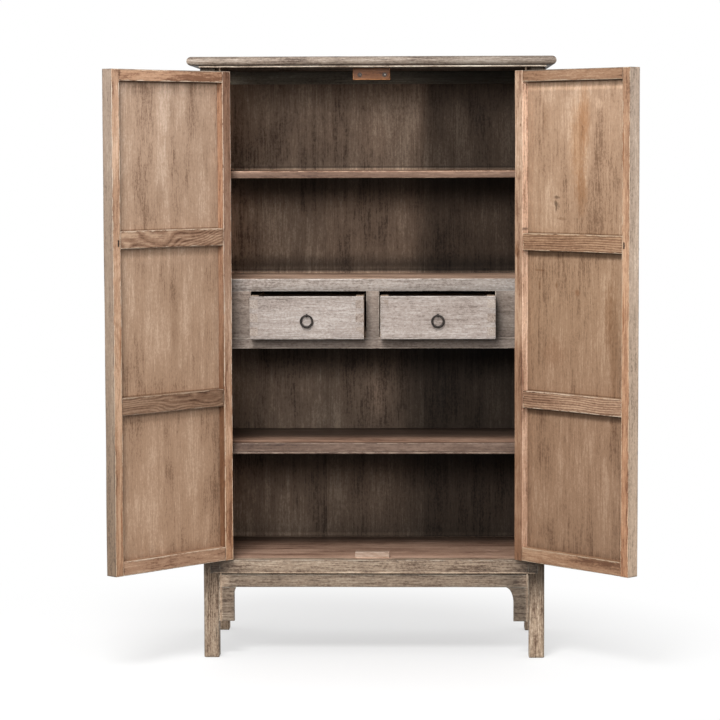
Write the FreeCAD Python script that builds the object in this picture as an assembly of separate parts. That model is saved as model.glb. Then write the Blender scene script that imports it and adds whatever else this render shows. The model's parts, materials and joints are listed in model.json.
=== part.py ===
import FreeCAD, Part
import math
import os

# Sizes are in millimetres. While the pieces are made, x = 0 is the middle of the carcass, y = 0 is the
# front face of the legs with y growing to the back, and z = 0 is the floor. At the end every piece is
# moved along y, so that the origin lies under the middle of the cabinet as it stands, doors open.

# Carcass
height = 1800.0
carcass_width = 1024.0
carcass_depth = 508.0
leg_size = 46.0
leg_outer_round = 8.0
leg_inner_round = 4.0
board_easing = 1.5
tenon_length = 24.0
tenon_shoulder = 8.0
groove_depth = 8.0
tongue_thickness = 8.0

# Top: a mitred frame with a rounded edge, a thin step under it and a panel let in
top_thickness = 24.5
top_round = 11.5
top_step = 5.5
top_member_width = 90.0
top_overhang_front = 28.0
top_overhang_side = 34.0
top_overhang_back = 12.0
top_shift = -3.5
top_panel_thickness = 16.0
top_panel_recess = 1.0
leg_tenon = 20.0
leg_tenon_height = 14.0

# Rails under the carcass, the apron and its brackets
rail_top = 297.0
rail_height = 41.0
front_rail_depth = 38.0
side_rail_thickness = 30.0
bead_height = 4.0
bead_proud = 2.0
lap_length = 26.0
lap_thickness = 10.0
lap_corner = 13.0
upper_rail_height = 40.0
apron_height = 42.4
apron_thickness = 18.0
apron_setback = 3.0
shadow_height = 4.4
shadow_depth = 5.0
bracket_drop = 103.0
bracket_width = 46.5
bracket_bead = 5.0
bracket_bead_inset = 3.0
tight_corner_width = 5.0
tight_corner_height = 16.0
cove_width = 25.0
cove_height = 49.0
cove_bulge_share = 0.68

# Panels and boards; the shelves' places are shares of the height inside
side_panel_thickness = 12.0
side_panel_recess = 10.0
back_thickness = 12.0
back_recess = 8.0
back_seam_shares = (-0.339, 0.3234)
floor_thickness = 18.0
shelf_setback = 50.0
upper_shelf_share = 0.7906
upper_shelf_thickness = 21.2
lower_shelf_share = 0.2357
lower_shelf_thickness = 20.0
lip_height = 32.6
lip_depth = 22.0
lip_groove_width = 2.4
lip_groove_depth = 1.6
lip_groove_rise = 5.0
cleat_width = 18.0
cleat_height = 24.0
cleat_end_gap = 10.0

# Drawer case, with its top's place as a share of the height inside
case_setback = 110.0
case_top_share = 0.5698
case_height = 210.7
face_thickness = 22.0
case_board_thickness = 18.0
upper_face_rail = 38.6
lower_face_rail = 32.4
left_end_stile = 117.4
right_end_stile = 123.4
middle_stile = 39.6
middle_stile_shift = -3.4
divider_thickness = 14.0
runner_guide_width = 11.0
runner_guide_height = 18.0
slide_gap = 0.3

# Drawers
drawer_outer_gap = 1.2
left_drawer_inner_gap = 6.0
right_drawer_inner_gap = 4.2
drawer_height = 128.4
drawer_front_thickness = 24.0
drawer_side_thickness = 24.0
drawer_back_thickness = 14.0
drawer_back_drop = 10.0
drawer_length = 350.0
drawer_floor_thickness = 8.0
drawer_floor_rise = 10.0
drawer_groove = 7.0
drawer_open = 68.0
tail_centre_shares = (0.18, 0.5, 0.82)
tail_tip_share = 0.2
tail_root_share = 0.13

# Doors, each hung on two dowel pins near its outer hinge corner; the battens' and pulls' places are
# shares of the door's height
door_side_gap = 2.0
door_meeting_gap = 2.0
door_bottom_gap = 2.5
door_top_gap = 13.7
door_thickness = 41.0
door_proud = 3.0
hinge_stile_width = 32.0
free_stile_width = 30.0
door_top_rail = 33.3
door_bottom_rail = 41.0
door_corner_round = 2.5
door_panel_thickness = 12.0
door_panel_back = 6.0
door_groove = 6.0
batten_height = 51.0
batten_inset = 3.0
left_batten_shares = (0.3185, 0.6477)
right_batten_shares = (0.3154, 0.6367)
door_angle_degrees = 132.7
pin_edge_distance = 11.0
pin_face_distance = 7.5
pin_radius = 3.0
socket_gap = 0.05
pin_in_door = 22.0
pin_in_socket = 13.0
pin_end_gap = 0.3

# Stops that the closed doors meet, with two metal catch discs in the upper one
stop_gap = 0.5
upper_stop_left = -59.0
upper_stop_right = 51.5
upper_stop_height = 37.5
upper_stop_depth = 23.0
lower_stop_left = -56.5
lower_stop_right = 46.3
lower_stop_height = 17.0
lower_stop_depth = 33.0
catch_left = -39.0
catch_right = 34.5
catch_drop = 23.0
catch_radius = 7.0
catch_thickness = 3.0

# Ring pulls
drawer_ring_radius = 20.2
door_ring_radius = 13.0
ring_wire_radius = 2.3
eye_outer_radius = 5.0
eye_width = 5.0
eye_gap = 0.4
eye_easing = 0.8
pull_standoff = 7.0
shank_width = 3.6
shank_height = 5.0
prong_length = 9.0
prong_thickness = 1.6
drawer_pull_rise = 71.2
door_pull_edge = 21.0
left_pull_share = 0.6593
right_pull_share = 0.6531

touch = 0.05
overrun = 5.0

# Worked out from the sizes above
half_width = carcass_width / 2
leg_inner = half_width - leg_size
top_underside = height - top_thickness - top_step
rail_bottom = rail_top - rail_height
upper_rail_bottom = top_underside - upper_rail_height
panel_outer_x = half_width - side_panel_recess
panel_inner_x = panel_outer_x - side_panel_thickness
rear_leg_front = carcass_depth - leg_size
rear_rail_front = carcass_depth - side_rail_thickness
side_rail_inner = half_width - side_rail_thickness
apron_bottom = rail_bottom - apron_height
bracket_bottom = apron_bottom - bracket_drop
back_front_face = carcass_depth - back_recess - back_thickness
inner_height = top_underside - rail_top
upper_shelf_top = rail_top + inner_height * upper_shelf_share
lower_shelf_top = rail_top + inner_height * lower_shelf_share
case_top = rail_top + inner_height * case_top_share
case_bottom = case_top - case_height
opening_top = case_top - upper_face_rail
opening_bottom = case_bottom + lower_face_rail
left_opening_left = -panel_inner_x + left_end_stile
left_opening_right = middle_stile_shift - middle_stile / 2
right_opening_left = middle_stile_shift + middle_stile / 2
right_opening_right = panel_inner_x - right_end_stile
left_drawer_left = left_opening_left + drawer_outer_gap
left_drawer_right = left_opening_right - left_drawer_inner_gap
right_drawer_left = right_opening_left + right_drawer_inner_gap
right_drawer_right = right_opening_right - drawer_outer_gap
hinge_edge = leg_inner - door_side_gap
door_bottom = rail_top + door_bottom_gap
door_top = top_underside - door_top_gap
door_width = hinge_edge - door_meeting_gap / 2
pin_x = hinge_edge - pin_edge_distance
pin_y = pin_face_distance - door_proud
door_inner_face = door_thickness - door_proud
stop_front = door_inner_face + stop_gap
drawer_bottom = opening_bottom + slide_gap
drawer_top = drawer_bottom + drawer_height
drawer_front_face = case_setback - drawer_open
drawer_pull_height = drawer_bottom + drawer_pull_rise
hole_radius = ring_wire_radius + eye_gap

x_axis = FreeCAD.Vector(1, 0, 0)
y_axis = FreeCAD.Vector(0, 1, 0)
z_axis = FreeCAD.Vector(0, 0, 1)


def box(x, y, z):
    corner = FreeCAD.Vector(x[0], y[0], z[0])
    return Part.makeBox(x[1] - x[0], y[1] - y[0], z[1] - z[0], corner)


def around(middle, width):
    return (middle - width / 2, middle + width / 2)


def prism(points, along):
    """A flat outline, given as 3-D points, pushed along a vector."""
    corners = [FreeCAD.Vector(*point) for point in points]
    return Part.Face(Part.makePolygon(corners + corners[:1])).extrude(along)


def without(piece, *others):
    for other in others:
        piece = piece.cut(other)
    return piece


def joined(piece, *others):
    for other in others:
        piece = piece.fuse(other)
    return piece.removeSplitter()


def mirrored(piece):
    return piece.mirror(FreeCAD.Vector(0, 0, 0), x_axis)


def edges_along(piece, axis, **places):
    """The straight edges along an axis; a place, such as y=0, keeps those that lie there."""
    found = []
    for edge in piece.Edges:
        bounds = edge.BoundBox
        spans = {
            "x": (bounds.XMin, bounds.XMax),
            "y": (bounds.YMin, bounds.YMax),
            "z": (bounds.ZMin, bounds.ZMax),
        }
        straight = all(high - low < touch for name, (low, high) in spans.items() if name != axis)
        there = all(abs(sum(spans[name]) / 2 - place) < touch for name, place in places.items())
        if straight and there:
            found.append(edge)
    return found


def eased(piece, axis, radius=board_easing, **places):
    return piece.makeFillet(radius, edges_along(piece, axis, **places))


# Rails, apron and brackets, which the legs are then cut to receive


def front_rail():
    rail = box((-leg_inner, leg_inner), (0, front_rail_depth), (rail_bottom, rail_top))
    rail = eased(rail, "x", y=0, z=rail_top)
    bead = box((-leg_inner, leg_inner), (-bead_proud, 0), (rail_bottom, rail_bottom + bead_height))
    bead = eased(bead, "x", bead_height / 4, y=-bead_proud)
    tenon = box(
        (-leg_inner - tenon_length, leg_inner + tenon_length),
        (lap_thickness + tenon_shoulder / 2, front_rail_depth - tenon_shoulder),
        (rail_bottom + tenon_shoulder, rail_top - tenon_shoulder),
    )
    lap_end = leg_inner + lap_length
    lap = box((leg_inner, lap_end), (0, lap_thickness), (rail_bottom, rail_top))
    lap = eased(lap, "y", lap_corner, x=lap_end, z=rail_bottom)
    return joined(rail, bead, tenon, lap, mirrored(lap))


def end_rail(low, high):
    """A rail along one side, from front leg to rear leg, with a tenon at each end."""
    rail = box((side_rail_inner, half_width), (leg_size, rear_leg_front), (low, high))
    rail = eased(rail, "y", x=half_width)
    tenon = box(
        (side_rail_inner + tenon_shoulder, half_width - side_panel_recess),
        (leg_size - tenon_length / 2, rear_leg_front + tenon_length / 2),
        (low + tenon_shoulder, high - tenon_shoulder),
    )
    return joined(rail, tenon)


def rear_rail(low, high):
    rail = box((-leg_inner, leg_inner), (rear_rail_front, carcass_depth), (low, high))
    tenon = box(
        (-leg_inner - tenon_length / 2, leg_inner + tenon_length / 2),
        (rear_rail_front + tenon_shoulder / 2, carcass_depth - tenon_shoulder),
        (low + tenon_shoulder, high - tenon_shoulder),
    )
    return joined(rail, tenon)


def upright_bead(low, high):
    """The bead beside the right-hand leg, which runs down the apron and its bracket."""
    outer = leg_inner - bracket_bead_inset
    depth = (apron_setback - bead_proud, apron_setback + shadow_depth)
    bead = box((outer - bracket_bead, outer), depth, (low, high))
    return eased(bead, "z", bead_proud / 2, y=apron_setback - bead_proud)


def apron():
    front = (apron_setback, apron_setback + apron_thickness)
    board = box((-leg_inner, leg_inner), front, (apron_bottom, rail_bottom))
    shadow = box(
        (-leg_inner, leg_inner),
        (front[0], front[0] + shadow_depth),
        (rail_bottom - shadow_height, rail_bottom),
    )
    board = eased(without(board, shadow), "x", y=apron_setback, z=apron_bottom)
    bead = upright_bead(apron_bottom, rail_bottom)
    return joined(board, bead, mirrored(bead))


def bracket_body(corner):
    """The board of one front bracket on the right, beside the leg; corner is the piece of its outline
    between its inner edge and the apron."""
    inner = leg_inner - bracket_width
    places = (
        (corner.EndPoint.x, apron_bottom),
        (leg_inner, apron_bottom),
        (leg_inner, bracket_bottom),
        (inner, bracket_bottom),
        (inner, corner.StartPoint.z),
    )
    points = [FreeCAD.Vector(x, apron_setback, z) for x, z in places]
    outline = Part.Wire(Part.makePolygon(points).Edges + [corner.toShape()])
    return Part.Face(outline).extrude(y_axis * apron_thickness)


def tight_corner():
    inner = leg_inner - bracket_width
    start = FreeCAD.Vector(inner, apron_setback, apron_bottom - tight_corner_height)
    end = FreeCAD.Vector(inner - tight_corner_width, apron_setback, apron_bottom)
    return Part.LineSegment(start, end)


def cove_corner():
    inner = leg_inner - bracket_width
    start = FreeCAD.Vector(inner, apron_setback, apron_bottom - cove_height)
    end = FreeCAD.Vector(inner - cove_width, apron_setback, apron_bottom)
    x = inner - cove_width * (1 - cove_bulge_share)
    z = apron_bottom - cove_height * (1 - cove_bulge_share)
    middle = FreeCAD.Vector(x, apron_setback, z)
    return Part.Arc(start, middle, end)


def bracket(corner):
    return joined(bracket_body(corner), upright_bead(bracket_bottom, apron_bottom))


def side_apron():
    """The apron under a side, level with the front one; its outer face is set back from the legs."""
    outer = half_width - apron_setback
    board = box(
        (outer - apron_thickness, outer), (leg_size, rear_leg_front), (apron_bottom, rail_bottom)
    )
    return eased(board, "y", x=outer, z=apron_bottom)


def side_brackets():
    """The two brackets under a side apron, turned from the coved front bracket."""
    front_one = bracket_body(cove_corner())
    outer = half_width - apron_setback
    front_one.rotate(FreeCAD.Vector(leg_inner, apron_setback, 0), z_axis, -90)
    front_one.translate(FreeCAD.Vector(outer - apron_thickness - leg_inner, leg_size - apron_setback, 0))
    bounds = front_one.BoundBox
    front_one.translate(FreeCAD.Vector(outer - bounds.XMax, leg_size - bounds.YMin, 0))
    middle_y = (leg_size + rear_leg_front) / 2
    return [front_one, front_one.mirror(FreeCAD.Vector(0, middle_y, 0), y_axis)]


# Panels, boards and shelves


def side_panel():
    return box(
        (panel_inner_x, panel_outer_x),
        (leg_size - groove_depth, rear_leg_front + groove_depth),
        (rail_top - groove_depth, upper_rail_bottom + groove_depth),
    )


def back_boards():
    seams = [leg_inner * share for share in back_seam_shares]
    ends = [-leg_inner - groove_depth] + seams + [leg_inner + groove_depth]
    depth = (back_front_face, back_front_face + back_thickness)
    rise = (rail_top - groove_depth, upper_rail_bottom + groove_depth)
    boards = [box(pair, depth, rise) for pair in zip(ends, ends[1:])]
    for n, seam in enumerate(seams):
        tongue = box((seam, seam + groove_depth), around(sum(depth) / 2, back_thickness / 3), rise)
        boards[n] = joined(boards[n], tongue)
        boards[n + 1] = without(boards[n + 1], tongue)
        boards[n] = eased(boards[n], "z", board_easing / 2, x=seam, y=depth[0])
        boards[n + 1] = eased(boards[n + 1], "z", board_easing / 2, x=seam, y=depth[0])
    return boards


def floor_board(legs):
    board = box(
        (-side_rail_inner, side_rail_inner),
        (front_rail_depth, rear_rail_front),
        (rail_top - floor_thickness, rail_top),
    )
    tongue = box(
        (-side_rail_inner - groove_depth, side_rail_inner + groove_depth),
        (front_rail_depth - groove_depth, rear_rail_front + groove_depth),
        (rail_top - floor_thickness, rail_top - floor_thickness + tongue_thickness),
    )
    return without(joined(board, tongue), *legs)


def upper_shelf(legs):
    board = box(
        (-panel_inner_x, panel_inner_x),
        (shelf_setback, back_front_face),
        (upper_shelf_top - upper_shelf_thickness, upper_shelf_top),
    )
    board = board.makeFillet(2 * board_easing, edges_along(board, "x", y=shelf_setback))
    return without(board, *legs)


def lower_shelf(legs):
    """The lower shelf and the deeper lip along its front, which the board is tongued into."""
    lip_back = shelf_setback + lip_depth
    board = box(
        (-panel_inner_x, panel_inner_x),
        (lip_back, back_front_face),
        (lower_shelf_top - lower_shelf_thickness, lower_shelf_top),
    )
    tongue_middle = lower_shelf_top - lower_shelf_thickness / 2
    tongue = box(
        (-panel_inner_x, panel_inner_x),
        (lip_back - groove_depth, lip_back),
        around(tongue_middle, tongue_thickness),
    )
    board = without(joined(board, tongue), *legs)
    lip_low = lower_shelf_top - lip_height
    lip = box((-panel_inner_x, panel_inner_x), (shelf_setback, lip_back), (lip_low, lower_shelf_top))
    lip = eased(lip, "x", 2 * board_easing, y=shelf_setback, z=lower_shelf_top)
    groove = box(
        (-panel_inner_x, panel_inner_x),
        (shelf_setback, shelf_setback + lip_groove_depth),
        (lip_low + lip_groove_rise, lip_low + lip_groove_rise + lip_groove_width),
    )
    return board, without(lip, groove, board)


def cleats():
    """Strips on the side panels under the shelves and the drawer case."""
    strips = []
    carried = (
        (upper_shelf_top - upper_shelf_thickness, shelf_setback),
        (lower_shelf_top - lower_shelf_thickness, shelf_setback + lip_depth),
        (case_bottom, case_setback),
    )
    for top, front in carried:
        strip = box(
            (panel_inner_x - cleat_width, panel_inner_x),
            (front + cleat_end_gap, rear_leg_front),
            (top - cleat_height, top),
        )
        strips += [strip, mirrored(strip)]
    return strips


# Top


def top_outline():
    """The whole top before it is divided: a rounded board with the step under it."""
    x = (-half_width - top_overhang_side + top_shift, half_width + top_overhang_side + top_shift)
    y = (-top_overhang_front, carcass_depth + top_overhang_back)
    board = box(x, y, (height - top_thickness, height))
    board = board.makeFillet(top_round / 2, edges_along(board, "z"))
    rim = [edge for edge in board.Edges if edge.BoundBox.ZLength < touch]
    board = board.makeFillet(top_round, rim)
    step = box(
        (-half_width, half_width), (0, carcass_depth), (top_underside, height - top_thickness)
    )
    opening = box(
        (x[0] + top_member_width, x[1] - top_member_width),
        (y[0] + top_member_width, y[1] - top_member_width),
        (top_underside - overrun, height + overrun),
    )
    return without(joined(board, step), opening), x, y


def top_frame(panel, legs):
    """The four members of the top, mitred at the corners: front, rear, and the two ends."""
    whole, x, y = top_outline()
    whole = without(whole, panel, *legs)
    low = top_underside - overrun
    rise = z_axis * (height - top_underside + 2 * overrun)
    inner_x = (x[0] + top_member_width, x[1] - top_member_width)
    inner_y = (y[0] + top_member_width, y[1] - top_member_width)

    def wedge(corners):
        return whole.common(prism([(cx, cy, low) for cx, cy in corners], rise))

    front = wedge([(x[0], y[0]), (x[1], y[0]), (inner_x[1], inner_y[0]), (inner_x[0], inner_y[0])])
    rear = wedge([(x[0], y[1]), (x[1], y[1]), (inner_x[1], inner_y[1]), (inner_x[0], inner_y[1])])
    left = wedge([(x[0], y[0]), (x[0], y[1]), (inner_x[0], inner_y[1]), (inner_x[0], inner_y[0])])
    right = wedge([(x[1], y[0]), (x[1], y[1]), (inner_x[1], inner_y[1]), (inner_x[1], inner_y[0])])
    return front, rear, [left, right]


def top_panel():
    x_low = -half_width - top_overhang_side + top_shift + top_member_width
    x_high = half_width + top_overhang_side + top_shift - top_member_width
    y_low = -top_overhang_front + top_member_width
    y_high = carcass_depth + top_overhang_back - top_member_width
    surface = height - top_panel_recess
    field = box((x_low, x_high), (y_low, y_high), (surface - top_panel_thickness, surface))
    tongue = box(
        (x_low - groove_depth, x_high + groove_depth),
        (y_low - groove_depth, y_high + groove_depth),
        around(surface - top_panel_thickness / 2, tongue_thickness),
    )
    return joined(field, tongue)


def leg(front):
    """The right-hand leg at the front or the rear, with the tenon that holds the top."""
    y = (0, leg_size) if front else (rear_leg_front, carcass_depth)
    post = box((leg_inner, half_width), y, (0, top_underside))
    if front:
        post = eased(post, "z", leg_outer_round, x=half_width, y=0)
        post = eased(post, "z", leg_inner_round, x=leg_inner, y=0)
    else:
        post = eased(post, "z", leg_inner_round, x=half_width, y=carcass_depth)
    middle_x = leg_inner + leg_size / 2
    tenon = box(
        around(middle_x, leg_tenon),
        around(sum(y) / 2, leg_tenon),
        (top_underside, top_underside + leg_tenon_height),
    )
    return joined(post, tenon)


# Drawer case


def face_stiles():
    """The wide stile at each end of the case and the narrow one between the drawers."""
    edges = (
        (-panel_inner_x, left_opening_left),
        (left_opening_right, right_opening_left),
        (right_opening_right, panel_inner_x),
    )
    depth = (case_setback, case_setback + face_thickness)
    stiles = []
    for low, high in edges:
        stile = box((low, high), depth, (opening_bottom, opening_top))
        tenon = box(
            around((low + high) / 2, (high - low) / 2),
            around(sum(depth) / 2, tongue_thickness),
            (opening_bottom - groove_depth, opening_top + groove_depth),
        )
        stiles.append(joined(stile, tenon))
    return stiles


def face_rails(stiles):
    x = (-panel_inner_x, panel_inner_x)
    depth = (case_setback, case_setback + face_thickness)
    upper = eased(box(x, depth, (opening_top, case_top)), "x", y=case_setback, z=case_top)
    lower = eased(box(x, depth, (case_bottom, opening_bottom)), "x", y=case_setback, z=case_bottom)
    return [without(rail, *stiles) for rail in (upper, lower)]


def case_boards(legs):
    """The board over the drawers and the one under them, tongued into the face rails."""
    boards = []
    for top in (case_top, case_bottom + case_board_thickness):
        low = top - case_board_thickness
        face_back = case_setback + face_thickness
        board = box((-panel_inner_x, panel_inner_x), (face_back, back_front_face), (low, top))
        tongue = box(
            (-panel_inner_x, panel_inner_x),
            (face_back - groove_depth, face_back),
            around(low + case_board_thickness / 2, tongue_thickness),
        )
        boards.append(without(joined(board, tongue), *legs))
    return boards


def divider():
    middle = (left_opening_right + right_opening_left) / 2
    return box(
        around(middle, divider_thickness),
        (case_setback + face_thickness, back_front_face),
        (case_bottom + case_board_thickness, case_top - case_board_thickness),
    )


def runners():
    """An L-shaped strip under each drawer side, whose upright leg guides the drawer's outer face."""
    strips = []
    low = case_bottom + case_board_thickness
    depth = (case_setback + face_thickness, back_front_face)
    for left, right in (
        (left_drawer_left, left_drawer_right),
        (right_drawer_left, right_drawer_right),
    ):
        for outer, inward in ((left, 1), (right, -1)):
            far = outer - inward * (slide_gap + runner_guide_width)
            near = outer + inward * drawer_side_thickness
            guide = outer - inward * slide_gap
            base = box((min(far, near), max(far, near)), depth, (low, opening_bottom))
            upright = box(
                (min(far, guide), max(far, guide)),
                depth,
                (opening_bottom, opening_bottom + runner_guide_height),
            )
            strips.append(joined(base, upright))
    return strips


# Drawers, made where they stand in the photograph's state, drawn out by drawer_open


def drawer_sides(left, right):
    """The two sides, each with dovetails that run through the front and end in its face."""
    front_back = drawer_front_face + drawer_front_thickness
    sides = []
    for x in ((left, left + drawer_side_thickness), (right - drawer_side_thickness, right)):
        side = box(x, (front_back, drawer_front_face + drawer_length), (drawer_bottom, drawer_top))
        for share in tail_centre_shares:
            middle = drawer_bottom + drawer_height * share
            tip = drawer_height * tail_tip_share / 2
            root = drawer_height * tail_root_share / 2
            tail = prism(
                [
                    (x[0], drawer_front_face, middle - tip),
                    (x[0], drawer_front_face, middle + tip),
                    (x[0], front_back, middle + root),
                    (x[0], front_back, middle - root),
                ],
                x_axis * drawer_side_thickness,
            )
            side = joined(side, tail)
        sides.append(side)
    return sides


def drawer_floor(left, right):
    inner = drawer_side_thickness - drawer_groove
    front_back = drawer_front_face + drawer_front_thickness
    low = drawer_bottom + drawer_floor_rise
    return box(
        (left + inner, right - inner),
        (front_back - drawer_groove, drawer_front_face + drawer_length),
        (low, low + drawer_floor_thickness),
    )


def drawer_back(left, right):
    end = drawer_front_face + drawer_length
    inner = drawer_side_thickness - drawer_groove
    return box(
        (left + inner, right - inner),
        (end - drawer_back_thickness, end),
        (drawer_bottom + drawer_floor_rise + drawer_floor_thickness, drawer_top - drawer_back_drop),
    )


def drawer(left, right):
    sides = drawer_sides(left, right)
    floor = drawer_floor(left, right)
    back = drawer_back(left, right)
    eye, ring = pull(
        (left + right) / 2, drawer_front_face, drawer_pull_height, drawer_front_thickness,
        drawer_ring_radius,
    )
    front = box(
        (left, right),
        (drawer_front_face, drawer_front_face + drawer_front_thickness),
        (drawer_bottom, drawer_top),
    )
    front = without(front, *sides, floor, eye)
    sides = [without(side, floor, back) for side in sides]
    return {
        "front": [front],
        "sides": sides,
        "floor": [floor],
        "back": [back],
        "eye": [eye],
        "ring": [ring],
    }


def pull(x, face, z, thickness, ring_radius):
    """An eye on a shank through the wood, clinched behind it, and the ring that hangs in the eye."""
    middle = face - pull_standoff
    start = FreeCAD.Vector(x - eye_width / 2, middle, z)
    eye = Part.makeCylinder(eye_outer_radius, eye_width, start, x_axis)
    eye = eye.makeFillet(eye_easing, [edge for edge in eye.Edges if isinstance(edge.Curve, Part.Circle)])
    hole = Part.makeCylinder(hole_radius, eye_width, start, x_axis)
    shank_start = middle + (eye_outer_radius + hole_radius) / 2
    shank = box(
        around(x, shank_width), (shank_start, face + thickness), around(z, shank_height)
    )
    prongs = box(
        around(x, shank_width),
        (face + thickness, face + thickness + prong_thickness),
        (z - prong_length, z + prong_length),
    )
    eye = without(joined(eye, shank, prongs), hole)
    mean_radius = ring_radius - ring_wire_radius
    ring_middle = FreeCAD.Vector(x, middle, z - mean_radius)
    ring = Part.makeTorus(mean_radius, ring_wire_radius, ring_middle, y_axis)
    return eye, ring


# Doors, made closed on the left side, then swung open about their pins


def door_stile(u_low, u_high, sharp_u):
    x = (-hinge_edge + u_low, -hinge_edge + u_high)
    y = (-door_proud, door_inner_face)
    stile = box(x, y, (door_bottom, door_top))
    stile = eased(stile, "z", door_corner_round, x=-hinge_edge + sharp_u, y=-door_proud)
    return eased(stile, "z", y=door_inner_face)


def door_rail(low, high):
    """A rail between the stiles, with a tenon into each."""
    u = (hinge_stile_width, door_width - free_stile_width)
    rail = box(
        (-hinge_edge + u[0], -hinge_edge + u[1]), (-door_proud, door_inner_face), (low, high)
    )
    rail = eased(rail, "x", y=door_inner_face)
    tenon = box(
        (-hinge_edge + u[0] - tenon_length, -hinge_edge + u[1] + tenon_length),
        around((door_inner_face - door_proud) / 2, tongue_thickness),
        (low + tenon_shoulder, high - tenon_shoulder),
    )
    return joined(rail, tenon)


def door_panel():
    front = -door_proud + door_panel_back
    x_low = -hinge_edge + hinge_stile_width - door_groove
    x_high = -hinge_edge + door_width - free_stile_width + door_groove
    z_low = door_bottom + door_bottom_rail - door_groove
    z_high = door_top - door_top_rail + door_groove
    return box((x_low, x_high), (front, front + door_panel_thickness), (z_low, z_high))


def door_batten(low):
    front = -door_proud + door_panel_back + door_panel_thickness
    back = door_inner_face - batten_inset
    u = (hinge_stile_width, door_width - free_stile_width)
    batten = box((-hinge_edge + u[0], -hinge_edge + u[1]), (front, back), (low, low + batten_height))
    batten = eased(batten, "x", y=back)
    tenon = box(
        (-hinge_edge + u[0] - tenon_length / 2, -hinge_edge + u[1] + tenon_length / 2),
        around((front + back) / 2, tongue_thickness),
        (low + tenon_shoulder, low + batten_height - tenon_shoulder),
    )
    return joined(batten, tenon)


def door_pins():
    lower = (rail_top - pin_in_socket + pin_end_gap, door_bottom + pin_in_door)
    upper = (door_top - pin_in_door, top_underside + pin_in_socket - pin_end_gap)
    return [
        Part.makeCylinder(pin_radius, high - low, FreeCAD.Vector(-pin_x, pin_y, low), z_axis)
        for low, high in (lower, upper)
    ]


def pin_sockets():
    """The holes for the door pins in the front rail and in the top, left and right."""
    radius = pin_radius + socket_gap
    holes = []
    for side in (-1, 1):
        for low in (rail_top - pin_in_socket, top_underside):
            start = FreeCAD.Vector(side * pin_x, pin_y, low)
            holes.append(Part.makeCylinder(radius, pin_in_socket, start, z_axis))
    return holes


def door(batten_shares, pull_share):
    panel = door_panel()
    door_height = door_top - door_bottom
    rails = [
        door_rail(door_bottom, door_bottom + door_bottom_rail),
        door_rail(door_top - door_top_rail, door_top),
    ]
    battens = [door_batten(door_bottom + door_height * share) for share in batten_shares]
    pins = door_pins()
    pull_x = -hinge_edge + door_width - door_pull_edge
    pull_height = door_bottom + door_height * pull_share
    eye, ring = pull(pull_x, -door_proud, pull_height, door_thickness, door_ring_radius)
    hinge_stile = door_stile(0, hinge_stile_width, 0)
    free_stile = door_stile(door_width - free_stile_width, door_width, door_width)
    pieces = {
        "hinge_stile": [without(hinge_stile, panel, *rails, *battens, *pins)],
        "free_stile": [without(free_stile, panel, *rails, *battens, eye)],
        "rails": [without(rail, panel) for rail in rails],
        "panel": [panel],
        "battens": [without(batten, eye) for batten in battens],
        "pins": pins,
        "eye": [eye],
        "ring": [ring],
    }
    hinge = FreeCAD.Vector(-pin_x, pin_y, 0)
    for solids in pieces.values():
        for solid in solids:
            solid.rotate(hinge, z_axis, -door_angle_degrees)
    return pieces


def door_stops():
    """The block under the top and the one on the floor board that the closed doors meet."""
    upper = box(
        (upper_stop_left, upper_stop_right),
        (stop_front, stop_front + upper_stop_depth),
        (top_underside - upper_stop_height, top_underside),
    )
    lower = box(
        (lower_stop_left, lower_stop_right),
        (stop_front, stop_front + lower_stop_depth),
        (rail_top, rail_top + lower_stop_height),
    )
    return eased(upper, "x", y=stop_front), eased(lower, "x", y=stop_front, z=rail_top + lower_stop_height)


def catch_discs():
    z = top_underside - catch_drop
    return [
        Part.makeCylinder(catch_radius, catch_thickness, FreeCAD.Vector(x, stop_front, z), y_axis)
        for x in (catch_left, catch_right)
    ]


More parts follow.
